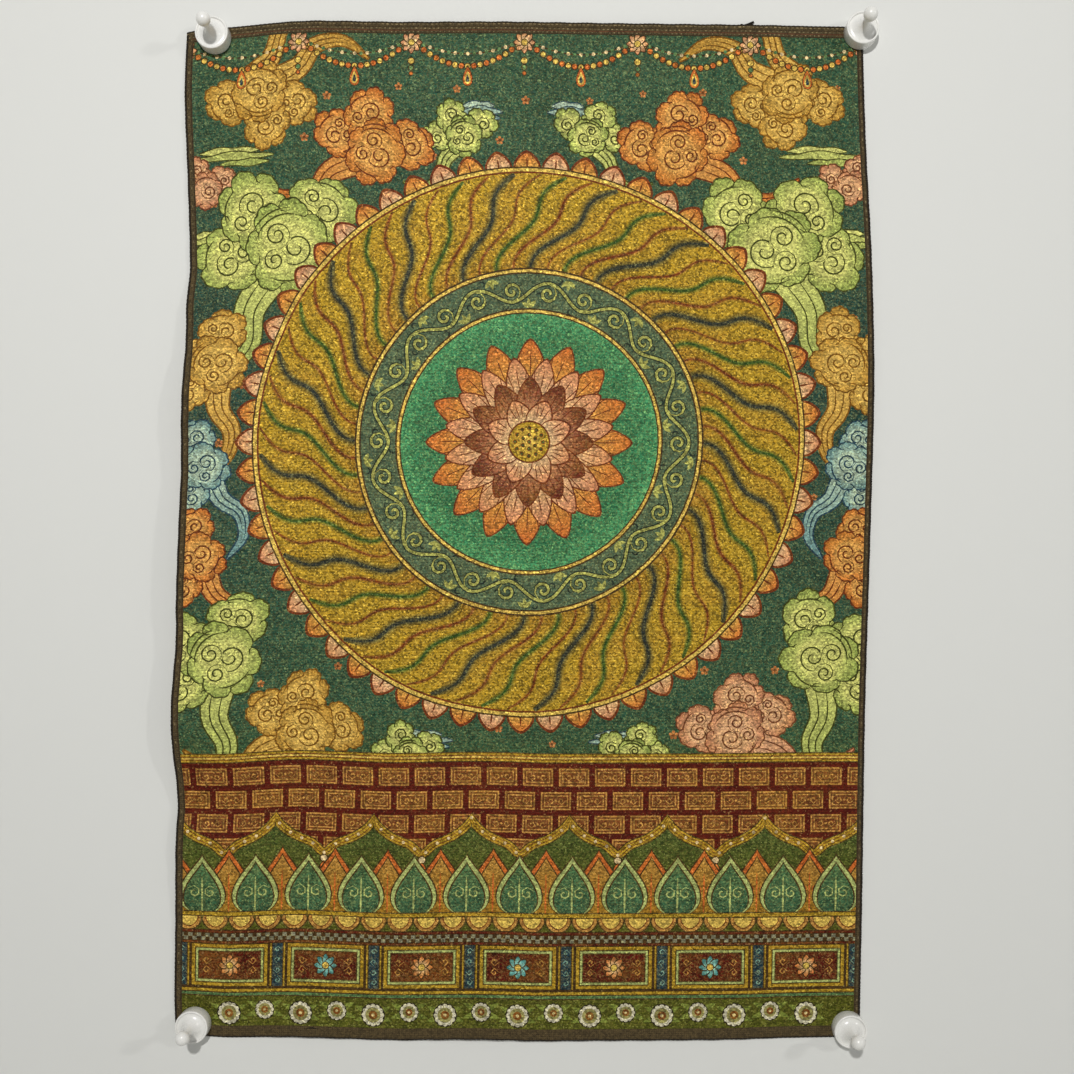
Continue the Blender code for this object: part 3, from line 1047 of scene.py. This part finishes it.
def divided(loop, spacing=LATTICE):
    """A loop with points added so that no edge of it is longer than the spacing."""
    after = np.roll(loop, -1, axis=0)
    counts = np.ceil(np.linalg.norm(after - loop, axis=1) / spacing).astype(int)
    if counts.max() <= 1:
        return loop
    return np.vstack([
        a + (b - a) * np.arange(n)[:, None] / n for a, b, n in zip(loop, after, counts)
    ])


def loop_edges(count, first=0):
    index = np.arange(count)
    return np.column_stack([index, (index + 1) % count]) + first


def directed_edges(faces):
    return np.vstack([faces[:, [0, 1]], faces[:, [1, 2]], faces[:, [2, 0]]])


def lattice(spacing):
    """Evenly spread points inside the flat cloth."""
    across = np.linspace(-HALF_WIDTH, HALF_WIDTH, int(CLOTH_WIDTH / spacing) + 1)[1:-1]
    down = np.linspace(0, CLOTH_HEIGHT, int(CLOTH_HEIGHT / spacing) + 1)[1:-1]
    return np.array(np.meshgrid(across, down)).reshape(2, -1).T


def fold_points(taken):
    """Points that let the sheet follow its folds, where the design has none of its own."""
    wide, fine = lattice(LATTICE), lattice(EDGE_LATTICE)
    wide = wide[np.min(edge_distances(wide), axis=0) > EDGE_ZONE]
    fine = fine[np.min(edge_distances(fine), axis=0) < EDGE_ZONE]
    kept = []
    for points, cell in ((wide, LATTICE_CLEAR), (fine, EDGE_CLEAR)):
        used = set(map(tuple, np.floor(taken / cell).astype(int).tolist()))
        for point, (i, j) in zip(points, np.floor(points / cell).astype(int).tolist()):
            if not any((i + a, j + b) in used for a in (-1, 0, 1) for b in (-1, 0, 1)):
                kept.append(point)
    return np.array(kept)


def cut_design(shapes):
    """The flat cloth's points, triangles and each triangle's shape."""
    # The rim has a point at each stitch and one between each two
    loops = [divided(box(-HALF_WIDTH, 0, HALF_WIDTH, CLOTH_HEIGHT), STITCH_PITCH / 2)]
    loops += [divided(loop) for loop, *_ in shapes]
    firsts = np.cumsum([0] + [len(loop) for loop in loops])
    edges = [loop_edges(len(loop), first) for loop, first in zip(loops, firsts)]
    points, triangles = triangulate(np.vstack(loops), np.vstack(edges))
    owner = owners_of(points[triangles].mean(axis=1), shapes)
    # Only an edge with another shape on its far side still matters
    ends = np.sort(directed_edges(triangles))
    key = ends[:, 0] * len(points) + ends[:, 1]
    _, first, group, sharing = np.unique(
        key, return_index=True, return_inverse=True, return_counts=True
    )
    lowest, highest = np.full(len(first), len(shapes)), np.full(len(first), -2)
    np.minimum.at(lowest, group, np.tile(owner, 3))
    np.maximum.at(highest, group, np.tile(owner, 3))
    lowest[sharing == 1] = -1
    seams = ends[first[(lowest != highest) & (highest >= 0)]]
    used, seams = np.unique(seams, return_inverse=True)
    kept = points[used]
    # Crossings on the cloth's edge are put exactly on it
    for axis, edge in ((0, -HALF_WIDTH), (0, HALF_WIDTH), (1, 0), (1, CLOTH_HEIGHT)):
        kept[np.abs(kept[:, axis] - edge) < WELD, axis] = edge
    points, triangles = triangulate(np.vstack([kept, fold_points(kept)]), seams.reshape(-1, 2))
    return points, triangles, owners_of(points[triangles].mean(axis=1), shapes)


def to_linear(colours):
    """Display colours from 0 to 255 as the linear light that shaders use."""
    part = np.asarray(colours, float) / 255
    return np.where(part <= 0.04045, part / 12.92, ((part + 0.055) / 1.055) ** 2.4)


def corner_colours(points, triangles, owner, shapes):
    """Each triangle's colour at its three corners."""
    colours = np.zeros((len(triangles), 3, 3))
    order = np.argsort(owner, kind="stable")
    bounds = np.searchsorted(owner[order], np.arange(len(shapes) + 1))
    for number, (_, paint, *_) in enumerate(shapes):
        faces = order[bounds[number] : bounds[number + 1]]
        if len(faces):
            corners = points[triangles[faces]].reshape(-1, 2)
            shade = paint(corners) if callable(paint) else np.tile(paint, (len(corners), 1))
            colours[faces] = np.reshape(shade, (-1, 3, 3))
    return to_linear(colours)


# Materials


class Nodes:
    """Short ways to build a material's node tree."""

    def __init__(self, name):
        self.material = bpy.data.materials.new(name)
        self.material.use_nodes = True
        self.tree = self.material.node_tree
        self.shader = self.tree.nodes["Principled BSDF"]

    def fit(self, node, inputs):
        """Sets or links a node's inputs."""
        for name, value in inputs.items():
            if isinstance(value, bpy.types.NodeSocket):
                self.tree.links.new(value, node.inputs[name])
            else:
                node.inputs[name].default_value = value

    def add(self, kind, inputs, **settings):
        node = self.tree.nodes.new(kind)
        for setting, value in settings.items():
            setattr(node, setting, value)
        self.fit(node, inputs)
        return node.outputs

    def math(self, operation, first, second=0.0):
        return self.add("ShaderNodeMath", {0: first, 1: second}, operation=operation)[0]

    def product(self, first, *others):
        for other in others:
            first = self.math("MULTIPLY", first, other)
        return first

    def wave(self, value, pitch):
        return self.math("SINE", self.math("MULTIPLY", value, 2 * math.pi / pitch))

    def ranged(self, value, low, high, new_low, new_high):
        inputs = {0: value, 1: low, 2: high, 3: new_low, 4: new_high}
        return self.add("ShaderNodeMapRange", inputs)[0]

    def blend(self, share, first, second):
        return self.add("ShaderNodeMix", {0: share, 6: first, 7: second}, data_type="RGBA")[2]

    def attribute(self, name, output):
        return self.add("ShaderNodeAttribute", {}, attribute_name=name)[output]

    def scaled(self, vector, scale, shift=(0, 0, 0)):
        inputs = {0: vector, 1: scale, 2: shift}
        return self.add("ShaderNodeVectorMath", inputs, operation="MULTIPLY_ADD")[0]

    def noise(self, vector, scale, detail, **settings):
        inputs = {"Vector": vector, "Scale": scale, "Detail": detail}
        return self.add("ShaderNodeTexNoise", inputs, **settings)[0]

    def cells(self, vector, scale):
        """Three random numbers for each of many uneven cells in the flat cloth."""
        inputs = {"Vector": self.scaled(vector, scale), "Scale": 1.0}
        cells = self.add("ShaderNodeTexVoronoi", inputs, voronoi_dimensions="2D")
        return self.add("ShaderNodeSeparateColor", {0: cells["Color"]})

    def bump(self, height, strength, distance):
        inputs = {"Height": height, "Strength": strength, "Distance": distance}
        return self.add("ShaderNodeBump", inputs)[0]

    def finish(self, **inputs):
        self.fit(self.shader, {name.replace("_", " "): value for name, value in inputs.items()})
        return self.material


def brocade_material():
    """Jacquard weave: ribs with painted shade in their furrows, thread-sized grains, and painted
    highlights for the glints of metal thread.
    """
    nodes = Nodes("brocade_weave")
    cloth, thread = nodes.attribute("cloth", "Vector"), nodes.attribute("thread", "Color")
    gleam = nodes.attribute("gleam", "Fac")
    chance = nodes.cells(cloth, (0.6, 0.72, 1))
    speck = nodes.cells(cloth, (1.05, 1.05, 1))
    broad = nodes.noise(nodes.scaled(cloth, (0.02, 0.03, 1)), 1.0, 3.0, noise_dimensions="2D")
    rib = nodes.wave(nodes.add("ShaderNodeSeparateXYZ", {0: cloth})[1], RIB_PITCH)
    spread = nodes.ranged(gleam, 0, 1, 0.34, 0.62)
    low, high = nodes.math("SUBTRACT", 1.0, spread), nodes.math("ADD", 1.0, spread)
    # The weave's colour: random grains, specks and broad patches of tone, times the ribs' painted
    # shade, which is darker in their furrows
    light = nodes.product(
        nodes.ranged(chance[0], 0, 1, low, high), nodes.ranged(speck[0], 0, 1, 0.74, 1.26),
        nodes.ranged(rib, -1, 1, 0.94, 1.06), nodes.ranged(broad, 0.3, 0.7, 0.92, 1.08),
    )
    # Gold warp shows between the wefts, least in the dark lines
    warp = nodes.ranged(speck[2], 0.35, 1, 0, nodes.ranged(gleam, 0.1, 0.45, 0.06, 0.3))
    # Only the threads redder than they are green turn to copper in patches
    hue = nodes.add("ShaderNodeSeparateColor", {0: thread})
    redder = nodes.ranged(nodes.math("SUBTRACT", hue[0], hue[1]), 0.02, 0.12, 0, gleam)
    copper = nodes.product(redder, nodes.ranged(broad, 0.42, 0.7, 0, 0.55))
    toned = nodes.blend(copper, thread, (0.30, 0.15, 0.015, 1))
    shaded = nodes.scaled(nodes.blend(warp, toned, (0.24, 0.19, 0.045, 1)), light)
    # Painted highlights: glints of light on metal thread, small ones and rarer large ones, set into the
    # base colour
    small = nodes.ranged(speck[1], nodes.ranged(gleam, 0, 1, 0.95, 0.85), 1.0, 0, 1)
    large_painted_glint = nodes.ranged(chance[1], nodes.ranged(gleam, 0, 1, 0.99, 0.93), 1.0, 0, 1)
    painted_glint_colour = nodes.scaled(thread, (1.75, 1.75, 1.5), (0.14, 0.13, 0.045))
    return nodes.finish(
        Base_Color=nodes.blend(nodes.math("MAXIMUM", small, large_painted_glint), shaded, painted_glint_colour),
        Roughness=nodes.ranged(chance[2], 0, 1, 0.45, 0.7),
        Metallic=nodes.product(gleam, nodes.ranged(chance[1], 0.6, 1, 0.05, 0.45)),
        Normal=nodes.bump(nodes.math("ADD", nodes.product(rib, 0.5), chance[2]), 0.5, 0.0003),
        Sheen_Weight=0.015, Specular_IOR_Level=0.1,
    )


def border_material():
    """Overlocked thread: close ridges that run across the edge, with painted shade in the furrows
    between them.
    """
    nodes = Nodes("serged_edge")
    cloth, thread = nodes.attribute("cloth", "Vector"), nodes.attribute("thread", "Color")
    place = nodes.add("ShaderNodeSeparateXYZ", {0: cloth})
    across, down = nodes.wave(place[0], SERGE_PITCH), nodes.wave(place[1], SERGE_PITCH)
    ridges = nodes.product(nodes.math("ADD", across, down), 0.5)
    chance = nodes.cells(cloth, (0.7, 0.7, 1))
    # Random tone of the thread, times painted shade that darkens the furrows between the ridges
    light = nodes.product(
        nodes.ranged(chance[0], 0, 1, 0.62, 1.38), nodes.ranged(ridges, -1, 1, 0.82, 1.18)
    )
    height = nodes.math("ADD", ridges, nodes.product(chance[1], 0.6))
    return nodes.finish(
        Base_Color=nodes.scaled(thread, light), Roughness=0.8,
        Normal=nodes.bump(height, 0.7, 0.0004), Sheen_Weight=0.05, Specular_IOR_Level=0.2,
    )


def back_material():
    """The reverse: dull floats of every weft colour, lying side by side."""
    nodes = Nodes("brocade_reverse")
    chance = nodes.cells(nodes.attribute("cloth", "Vector"), (0.11, 0.62, 1))
    colour = nodes.attribute("thread", "Color")
    for number, low, high, most, tint in (
        (0, 0.3, 0.9, 0.5, (0.42, 0.24, 0.06, 1)), (1, 0.6, 1.0, 0.55, (0.05, 0.10, 0.07, 1))
    ):
        colour = nodes.blend(nodes.ranged(chance[number], low, high, 0, most), colour, tint)
    return nodes.finish(
        Base_Color=nodes.scaled(colour, nodes.ranged(chance[2], 0, 1, 0.7, 1.25)),
        Roughness=0.82, Normal=nodes.bump(chance[2], 0.6, 0.0003), Sheen_Weight=0.05,
        Specular_IOR_Level=0.2,
    )


def plastic_material():
    """Glossy white moulding, faintly uneven, with dust-fine wear on its gloss."""
    nodes = Nodes("glossy_white_plastic")
    place = nodes.add("ShaderNodeTexCoord", {})["Object"]
    soft, dust = nodes.noise(place, 90.0, 2.0), nodes.noise(place, 900.0, 3.0)
    share = nodes.ranged(soft, 0.35, 0.65, 0, 1)
    return nodes.finish(
        Base_Color=nodes.blend(share, (0.765, 0.76, 0.725, 1), (0.80, 0.795, 0.765, 1)),
        Roughness=nodes.ranged(dust, 0.35, 0.7, 0.22, 0.33),
        Normal=nodes.bump(soft, 0.12, 0.0004), Coat_Weight=0.12, Coat_Roughness=0.08,
    )


def thread_material():
    """Dark serging thread with its ply."""
    nodes = Nodes("dark_serging_thread")
    ply = nodes.noise(nodes.add("ShaderNodeTexCoord", {})["Object"], 2500.0, 2.0)
    shade = nodes.ranged(ply, 0.35, 0.65, 0.6, 1.4)
    return nodes.finish(
        Base_Color=nodes.scaled((0.010, 0.008, 0.005), shade), Roughness=0.85,
        Normal=nodes.bump(ply, 0.6, 0.0002), Specular_IOR_Level=0.2,
    )


# Pieces


def new_object(name, data):
    thing = bpy.data.objects.new(name, data)
    bpy.context.scene.collection.objects.link(thing)
    return thing


def outward_of(points):
    """Which way the flat cloth's edge faces at each of its points."""
    left, right, top, bottom = (np.abs(distance) < 1e-6 for distance in edge_distances(points))
    out = np.column_stack([right.astype(float) - left, bottom.astype(float) - top])
    return out / np.linalg.norm(out, axis=1)[:, None]


def boundary_loop(faces):
    """The open edge of a sheet of faces, as point numbers in order."""
    directed = set(map(tuple, directed_edges(faces).tolist()))
    after = {a: b for a, b in directed if (b, a) not in directed}
    loop = [next(iter(after))]
    while after[loop[-1]] != loop[0]:
        loop.append(after[loop[-1]])
    return np.array(loop)


def in_border(points):
    """Whether points of the flat cloth lie in its serged border."""
    inside = [gap - width for gap, width in zip(edge_distances(points), BORDER_WIDTHS)]
    return np.min(inside, axis=0) < 0


def cut_back(rim):
    """The back's points and triangles on the front's own edge points, and their numbers there."""
    inner, inside = divided(box(*INNER)), lattice(BACK_LATTICE)
    edges = np.vstack([loop_edges(len(rim)), loop_edges(len(inner), len(rim))])
    points, faces = triangulate(np.vstack([rim, inner, inside[~in_border(inside)]]), edges)
    number = {tuple(point): i for i, point in enumerate(points.tolist())}
    return points, faces, np.array([number[tuple(point)] for point in rim.tolist()])


def make_panel():
    """The hanging cloth as one closed sheet: its front, a plain back, and the rim between."""
    shapes = draw_design()
    front, front_faces, owner = cut_design(shapes)
    rim_front = boundary_loop(front_faces)
    back, back_faces, rim_back = cut_back(front[rim_front])

    # Every other edge point leans out with its stitch, on both faces
    lean = outward_of(front[rim_front]) * STITCH_LOOP * (np.arange(len(rim_front)) % 2)[:, None]
    front_out, back_out = front.copy(), back.copy()
    front_out[rim_front] += lean
    back_out[rim_back] += lean
    places = np.vstack([hang(front_out, True), hang(back_out, False)])
    here, there = rim_front, rim_back + len(front)
    after, beyond = np.roll(here, -1), np.roll(there, -1)
    faces = np.vstack([
        front_faces, back_faces[:, ::-1] + len(front),
        np.column_stack([after, here, there]), np.column_stack([after, there, beyond]),
    ])
    mesh = bpy.data.meshes.new("hanging_cloth")
    mesh.from_pydata(places.tolist(), [], faces.tolist())
    mesh.update()

    flat = np.vstack([front, back])
    cloth = np.column_stack([flat, np.zeros(len(flat))])
    mesh.attributes.new("cloth", "FLOAT_VECTOR", "POINT").data.foreach_set("vector", cloth.ravel())
    first, last = len(front_faces), len(front_faces) + len(back_faces)
    back_in_border = in_border(back[back_faces].mean(axis=1))
    colours = np.ones((len(faces), 3, 4))
    colours[:first, :, :3] = corner_colours(front, front_faces, owner, shapes)
    colours[first:last, :, :3] = to_linear(BACK_BROWN)
    colours[first:last][back_in_border, :, :3] = to_linear(BORDER_BROWN)
    colours[last:, :, :3] = to_linear(BORDER_DARK)
    thread = mesh.color_attributes.new("thread", "FLOAT_COLOR", "CORNER")
    thread.data.foreach_set("color", colours.ravel())
    gleams, slots = np.zeros(len(faces)), np.ones(len(faces), int)
    gleams[:first] = np.array([gleam for _, _, gleam, _ in shapes])[owner]
    mesh.attributes.new("gleam", "FLOAT", "FACE").data.foreach_set("value", gleams)
    slots[:first] = np.array([border for *_, border in shapes])[owner]
    slots[first:last] = np.where(back_in_border, 1, 2)
    mesh.polygons.foreach_set("material_index", slots)
    for material in (brocade_material(), border_material(), back_material()):
        mesh.materials.append(material)
    lay_out(mesh, front, back, faces, last, rim_front)

    mesh.shade_smooth()
    normals = np.zeros((len(faces), 3, 3))
    normals[:first] = hung_normals(front)[front_faces]
    normals[first:last] = -hung_normals(back)[back_faces[:, ::-1]]
    outward = np.cross(places[there] - places[here], places[after] - places[here])
    outward /= -np.linalg.norm(outward, axis=1)[:, None]
    normals[last:] = np.tile(outward, (2, 1))[:, None]
    mesh.normals_split_custom_set(normals.reshape(-1, 3).tolist())
    return new_object("brocade_cloth", mesh)


def lay_out(mesh, front, back, faces, last, rim_front):
    """The flat layout: the front at the left with the rim round it, the back at the right."""
    scale = 0.98 / CLOTH_HEIGHT
    margin, rim_width, back_left, back_share = 0.01, 0.004, 0.69, 0.45
    front_uv = np.column_stack([front[:, 0] + HALF_WIDTH, CLOTH_HEIGHT - front[:, 1]]) * scale
    back_uv = np.column_stack([HALF_WIDTH - back[:, 0], CLOTH_HEIGHT - back[:, 1]]) * scale
    uv = np.vstack([front_uv + margin, back_uv * back_share + (back_left, margin)])
    corner_uv = uv[faces]
    near = front_uv[rim_front] + margin
    far = near + outward_of(front[rim_front]) * (rim_width, -rim_width)
    next_near, next_far = np.roll(near, -1, axis=0), np.roll(far, -1, axis=0)
    corner_uv[last:] = np.vstack([
        np.stack([next_near, near, far], axis=1), np.stack([next_near, far, next_far], axis=1)
    ])
    mesh.uv_layers.new(name="OFBake").data.foreach_set("uv", corner_uv.ravel())


def magnet_profile():
    """(radius, distance from the cloth) down the outer side, from the knob's tip to the foot."""
    points = [(0.0, KNOB_CENTRE + KNOB_RADIUS)]
    neck_angle = math.pi - math.asin(NECK_RADIUS / KNOB_RADIUS)
    for i in range(1, KNOB_STEPS + 1):
        angle = neck_angle * i / KNOB_STEPS
        points.append((KNOB_RADIUS * math.sin(angle), KNOB_CENTRE + KNOB_RADIUS * math.cos(angle)))
    # The neck flares in a hollow curve down to the drum's dished front
    for i in range(FLARE_STEPS + 1):
        angle = 0.5 * math.pi * i / FLARE_STEPS
        radius = DISH_RADIUS - (DISH_RADIUS - NECK_RADIUS) * math.cos(angle)
        points.append((radius, DISH_DEPTH + (NECK_DEPTH - DISH_DEPTH) * (1 - math.sin(angle))))
    # A rounded lip, the straight side and a small chamfer at the foot
    for i in range(LIP_STEPS + 1):
        angle = math.pi * (i / LIP_STEPS - 0.5)
        radius = DRUM_RADIUS - LIP_RADIUS + LIP_RADIUS * math.sin(angle)
        points.append((radius, DRUM_DEPTH - LIP_RADIUS + LIP_RADIUS * math.cos(angle)))
    points += [(DRUM_RADIUS, 0.7), (DRUM_RADIUS - 0.2, 0.2), (DRUM_RADIUS - 0.6, 0.0), (0.0, 0.0)]
    return points


def make_magnet(name, right, down, material):
    tip, *rings, foot = magnet_profile()
    angle = np.linspace(0, 2 * np.pi, MAGNET_STEPS, endpoint=False)
    places = [(0.0, 0.0, tip[1])]
    for radius, height in rings:
        places += [(radius * math.cos(a), radius * math.sin(a), height) for a in angle]
    places.append((0.0, 0.0, foot[1]))
    faces = []
    firsts = range(1, len(places) - 1, MAGNET_STEPS)
    for k in range(MAGNET_STEPS):
        after = (k + 1) % MAGNET_STEPS
        faces.append((0, 1 + k, 1 + after))
        for here, there in zip(firsts, firsts[1:]):
            faces.append((here + k, there + k, there + after, here + after))
        faces.append((firsts[-1] + k, len(places) - 1, firsts[-1] + after))
    mesh = bpy.data.meshes.new(name + "_moulding")
    mesh.from_pydata((np.array(places) * MM).tolist(), [], faces)
    mesh.materials.append(material)
    mesh.shade_smooth()
    mesh.set_sharp_from_angle(angle=math.radians(40))
    magnet = new_object(name + "_moulding", mesh)
    stand = Matrix.Translation((right * MM, -(CLOTH_THICKNESS + GAP) * MM, -down * MM))
    mesh.transform(stand @ Matrix.Rotation(math.radians(90), 4, "X"))
    return magnet


# Threads that stand out from the top edge, dark ends of the serging: (right, up, out from the wall)
LOOSE_THREADS = (
    ((190.0, -1.6, 1.4), (192.4, 0.5, 1.9), (194.3, 0.6, 2.2), (196.0, -1.2, 1.8)),
    ((193.4, -1.4, 1.6), (196.6, 0.3, 2.1), (200.2, 1.1, 2.6), (204.0, 2.9, 3.1)),
    ((195.6, -1.6, 1.3), (198.6, 0.1, 1.8), (201.4, 1.2, 2.5), (203.4, 1.9, 2.9)),
    ((191.8, -1.5, 2.2), (196.0, 0.2, 2.6), (200.4, 0.3, 2.9), (203.8, 0.5, 2.4)),
    ((197.4, -1.5, 2.4), (200.0, 0.6, 2.9), (202.0, 1.5, 3.2), (204.6, 1.6, 3.0)),
)
THREAD_RADIUS = 0.65
THREAD_SWELL = (0.6, 1.0, 1.2, 0.8)


def make_loose_threads():
    data = bpy.data.curves.new("loose_threads", "CURVE")
    data.dimensions = "3D"
    data.bevel_depth = THREAD_RADIUS * MM
    data.bevel_resolution = 3
    data.use_fill_caps = True
    for places in LOOSE_THREADS:
        spline = data.splines.new("NURBS")
        spline.points.add(len(places) - 1)
        for point, (right, up, out), swell in zip(spline.points, places, THREAD_SWELL):
            edge = float(smooth_through(TOP_EDGE, np.array([right]))[0])
            point.co = (right * MM, -out * MM, (edge + up) * MM, 1)
            point.radius = swell
        spline.use_endpoint_u = True
        spline.order_u = 3
        spline.resolution_u = 6
    data.materials.append(thread_material())
    return new_object("loose_threads", data)


def stage_plane(name, corners, colour, roughness):
    nodes = Nodes(name + "_paint")
    nodes.finish(Base_Color=(*colour, 1), Roughness=roughness)
    mesh = bpy.data.meshes.new(name)
    mesh.from_pydata(corners, [], [(0, 1, 2, 3)])
    mesh.materials.append(nodes.material)
    return new_object(name, mesh), nodes


def make_stage():
    floor_height, wall_top, half, reach, behind = -1.25, 2.5, 4, 5, 0.0005
    wall, nodes = stage_plane("stage_wall", [
        (-half, behind, floor_height), (half, behind, floor_height), (half, behind, wall_top),
        (-half, behind, wall_top),
    ], (0.70, 0.705, 0.68), 0.9)
    wall.visible_shadow = False
    # The wall is clear from behind, so that the reverse can be seen
    both = nodes.add("ShaderNodeMixShader", {
        0: nodes.add("ShaderNodeNewGeometry", {})["Backfacing"], 1: nodes.shader.outputs[0],
        2: nodes.add("ShaderNodeBsdfTransparent", {})[0],
    })
    nodes.fit(nodes.tree.nodes["Material Output"], {"Surface": both[0]})
    floor, _ = stage_plane("stage_floor", [
        (-half, -reach, floor_height), (half, -reach, floor_height), (half, reach, floor_height),
        (-half, reach, floor_height),
    ], (0.48, 0.48, 0.46), 0.8)


# The place all lights point at
AIM = Vector((0, 0, -0.45))


def make_light(name, place, size, power):
    light = bpy.data.lights.new(name, "AREA")
    light.shape = "DISK"
    light.size = size
    light.energy = power
    light.color = (1.0, 0.99, 0.97)
    lamp = new_object(name, light)
    lamp.location = place
    lamp.rotation_mode = "QUATERNION"
    lamp.rotation_quaternion = (AIM - Vector(place)).to_track_quat("-Z", "Y")


def make_lights():
    make_light("key_light", (-0.19, -2.06, 0.40), 0.10, 33)
    make_light("side_light", (3.06, -2.1, 0.50), 0.16, 19)
    make_light("rear_light", (0.9, 2.4, 0.6), 1.2, 20)
    world = bpy.data.worlds.new("soft_studio")
    world.use_nodes = True
    background = world.node_tree.nodes["Background"]
    background.inputs["Color"].default_value = (1.0, 1.0, 1.0, 1)
    background.inputs["Strength"].default_value = 0.25
    bpy.context.scene.world = world


def make_camera():
    data = bpy.data.cameras.new("view")
    data.sensor_width = 36
    data.lens = 34.66
    data.shift_x = -0.0121
    data.shift_y = 0.0447
    camera = new_object("view", data)
    camera.location = (0.023, -0.922, -0.500)
    camera.rotation_euler = (math.pi / 2, 0, 0)
    bpy.context.scene.camera = camera


bpy.context.scene.view_settings.view_transform = "Standard"
make_camera()
panel = make_panel()
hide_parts("woven_panel")
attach(panel, "root")
threads = make_loose_threads()
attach(threads, "root")
plastic = plastic_material()
for name, right, down in MAGNETS:
    magnet = make_magnet(name, right, down, plastic)
    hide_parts(name)
    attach(magnet, "root")
make_stage()
make_lights()
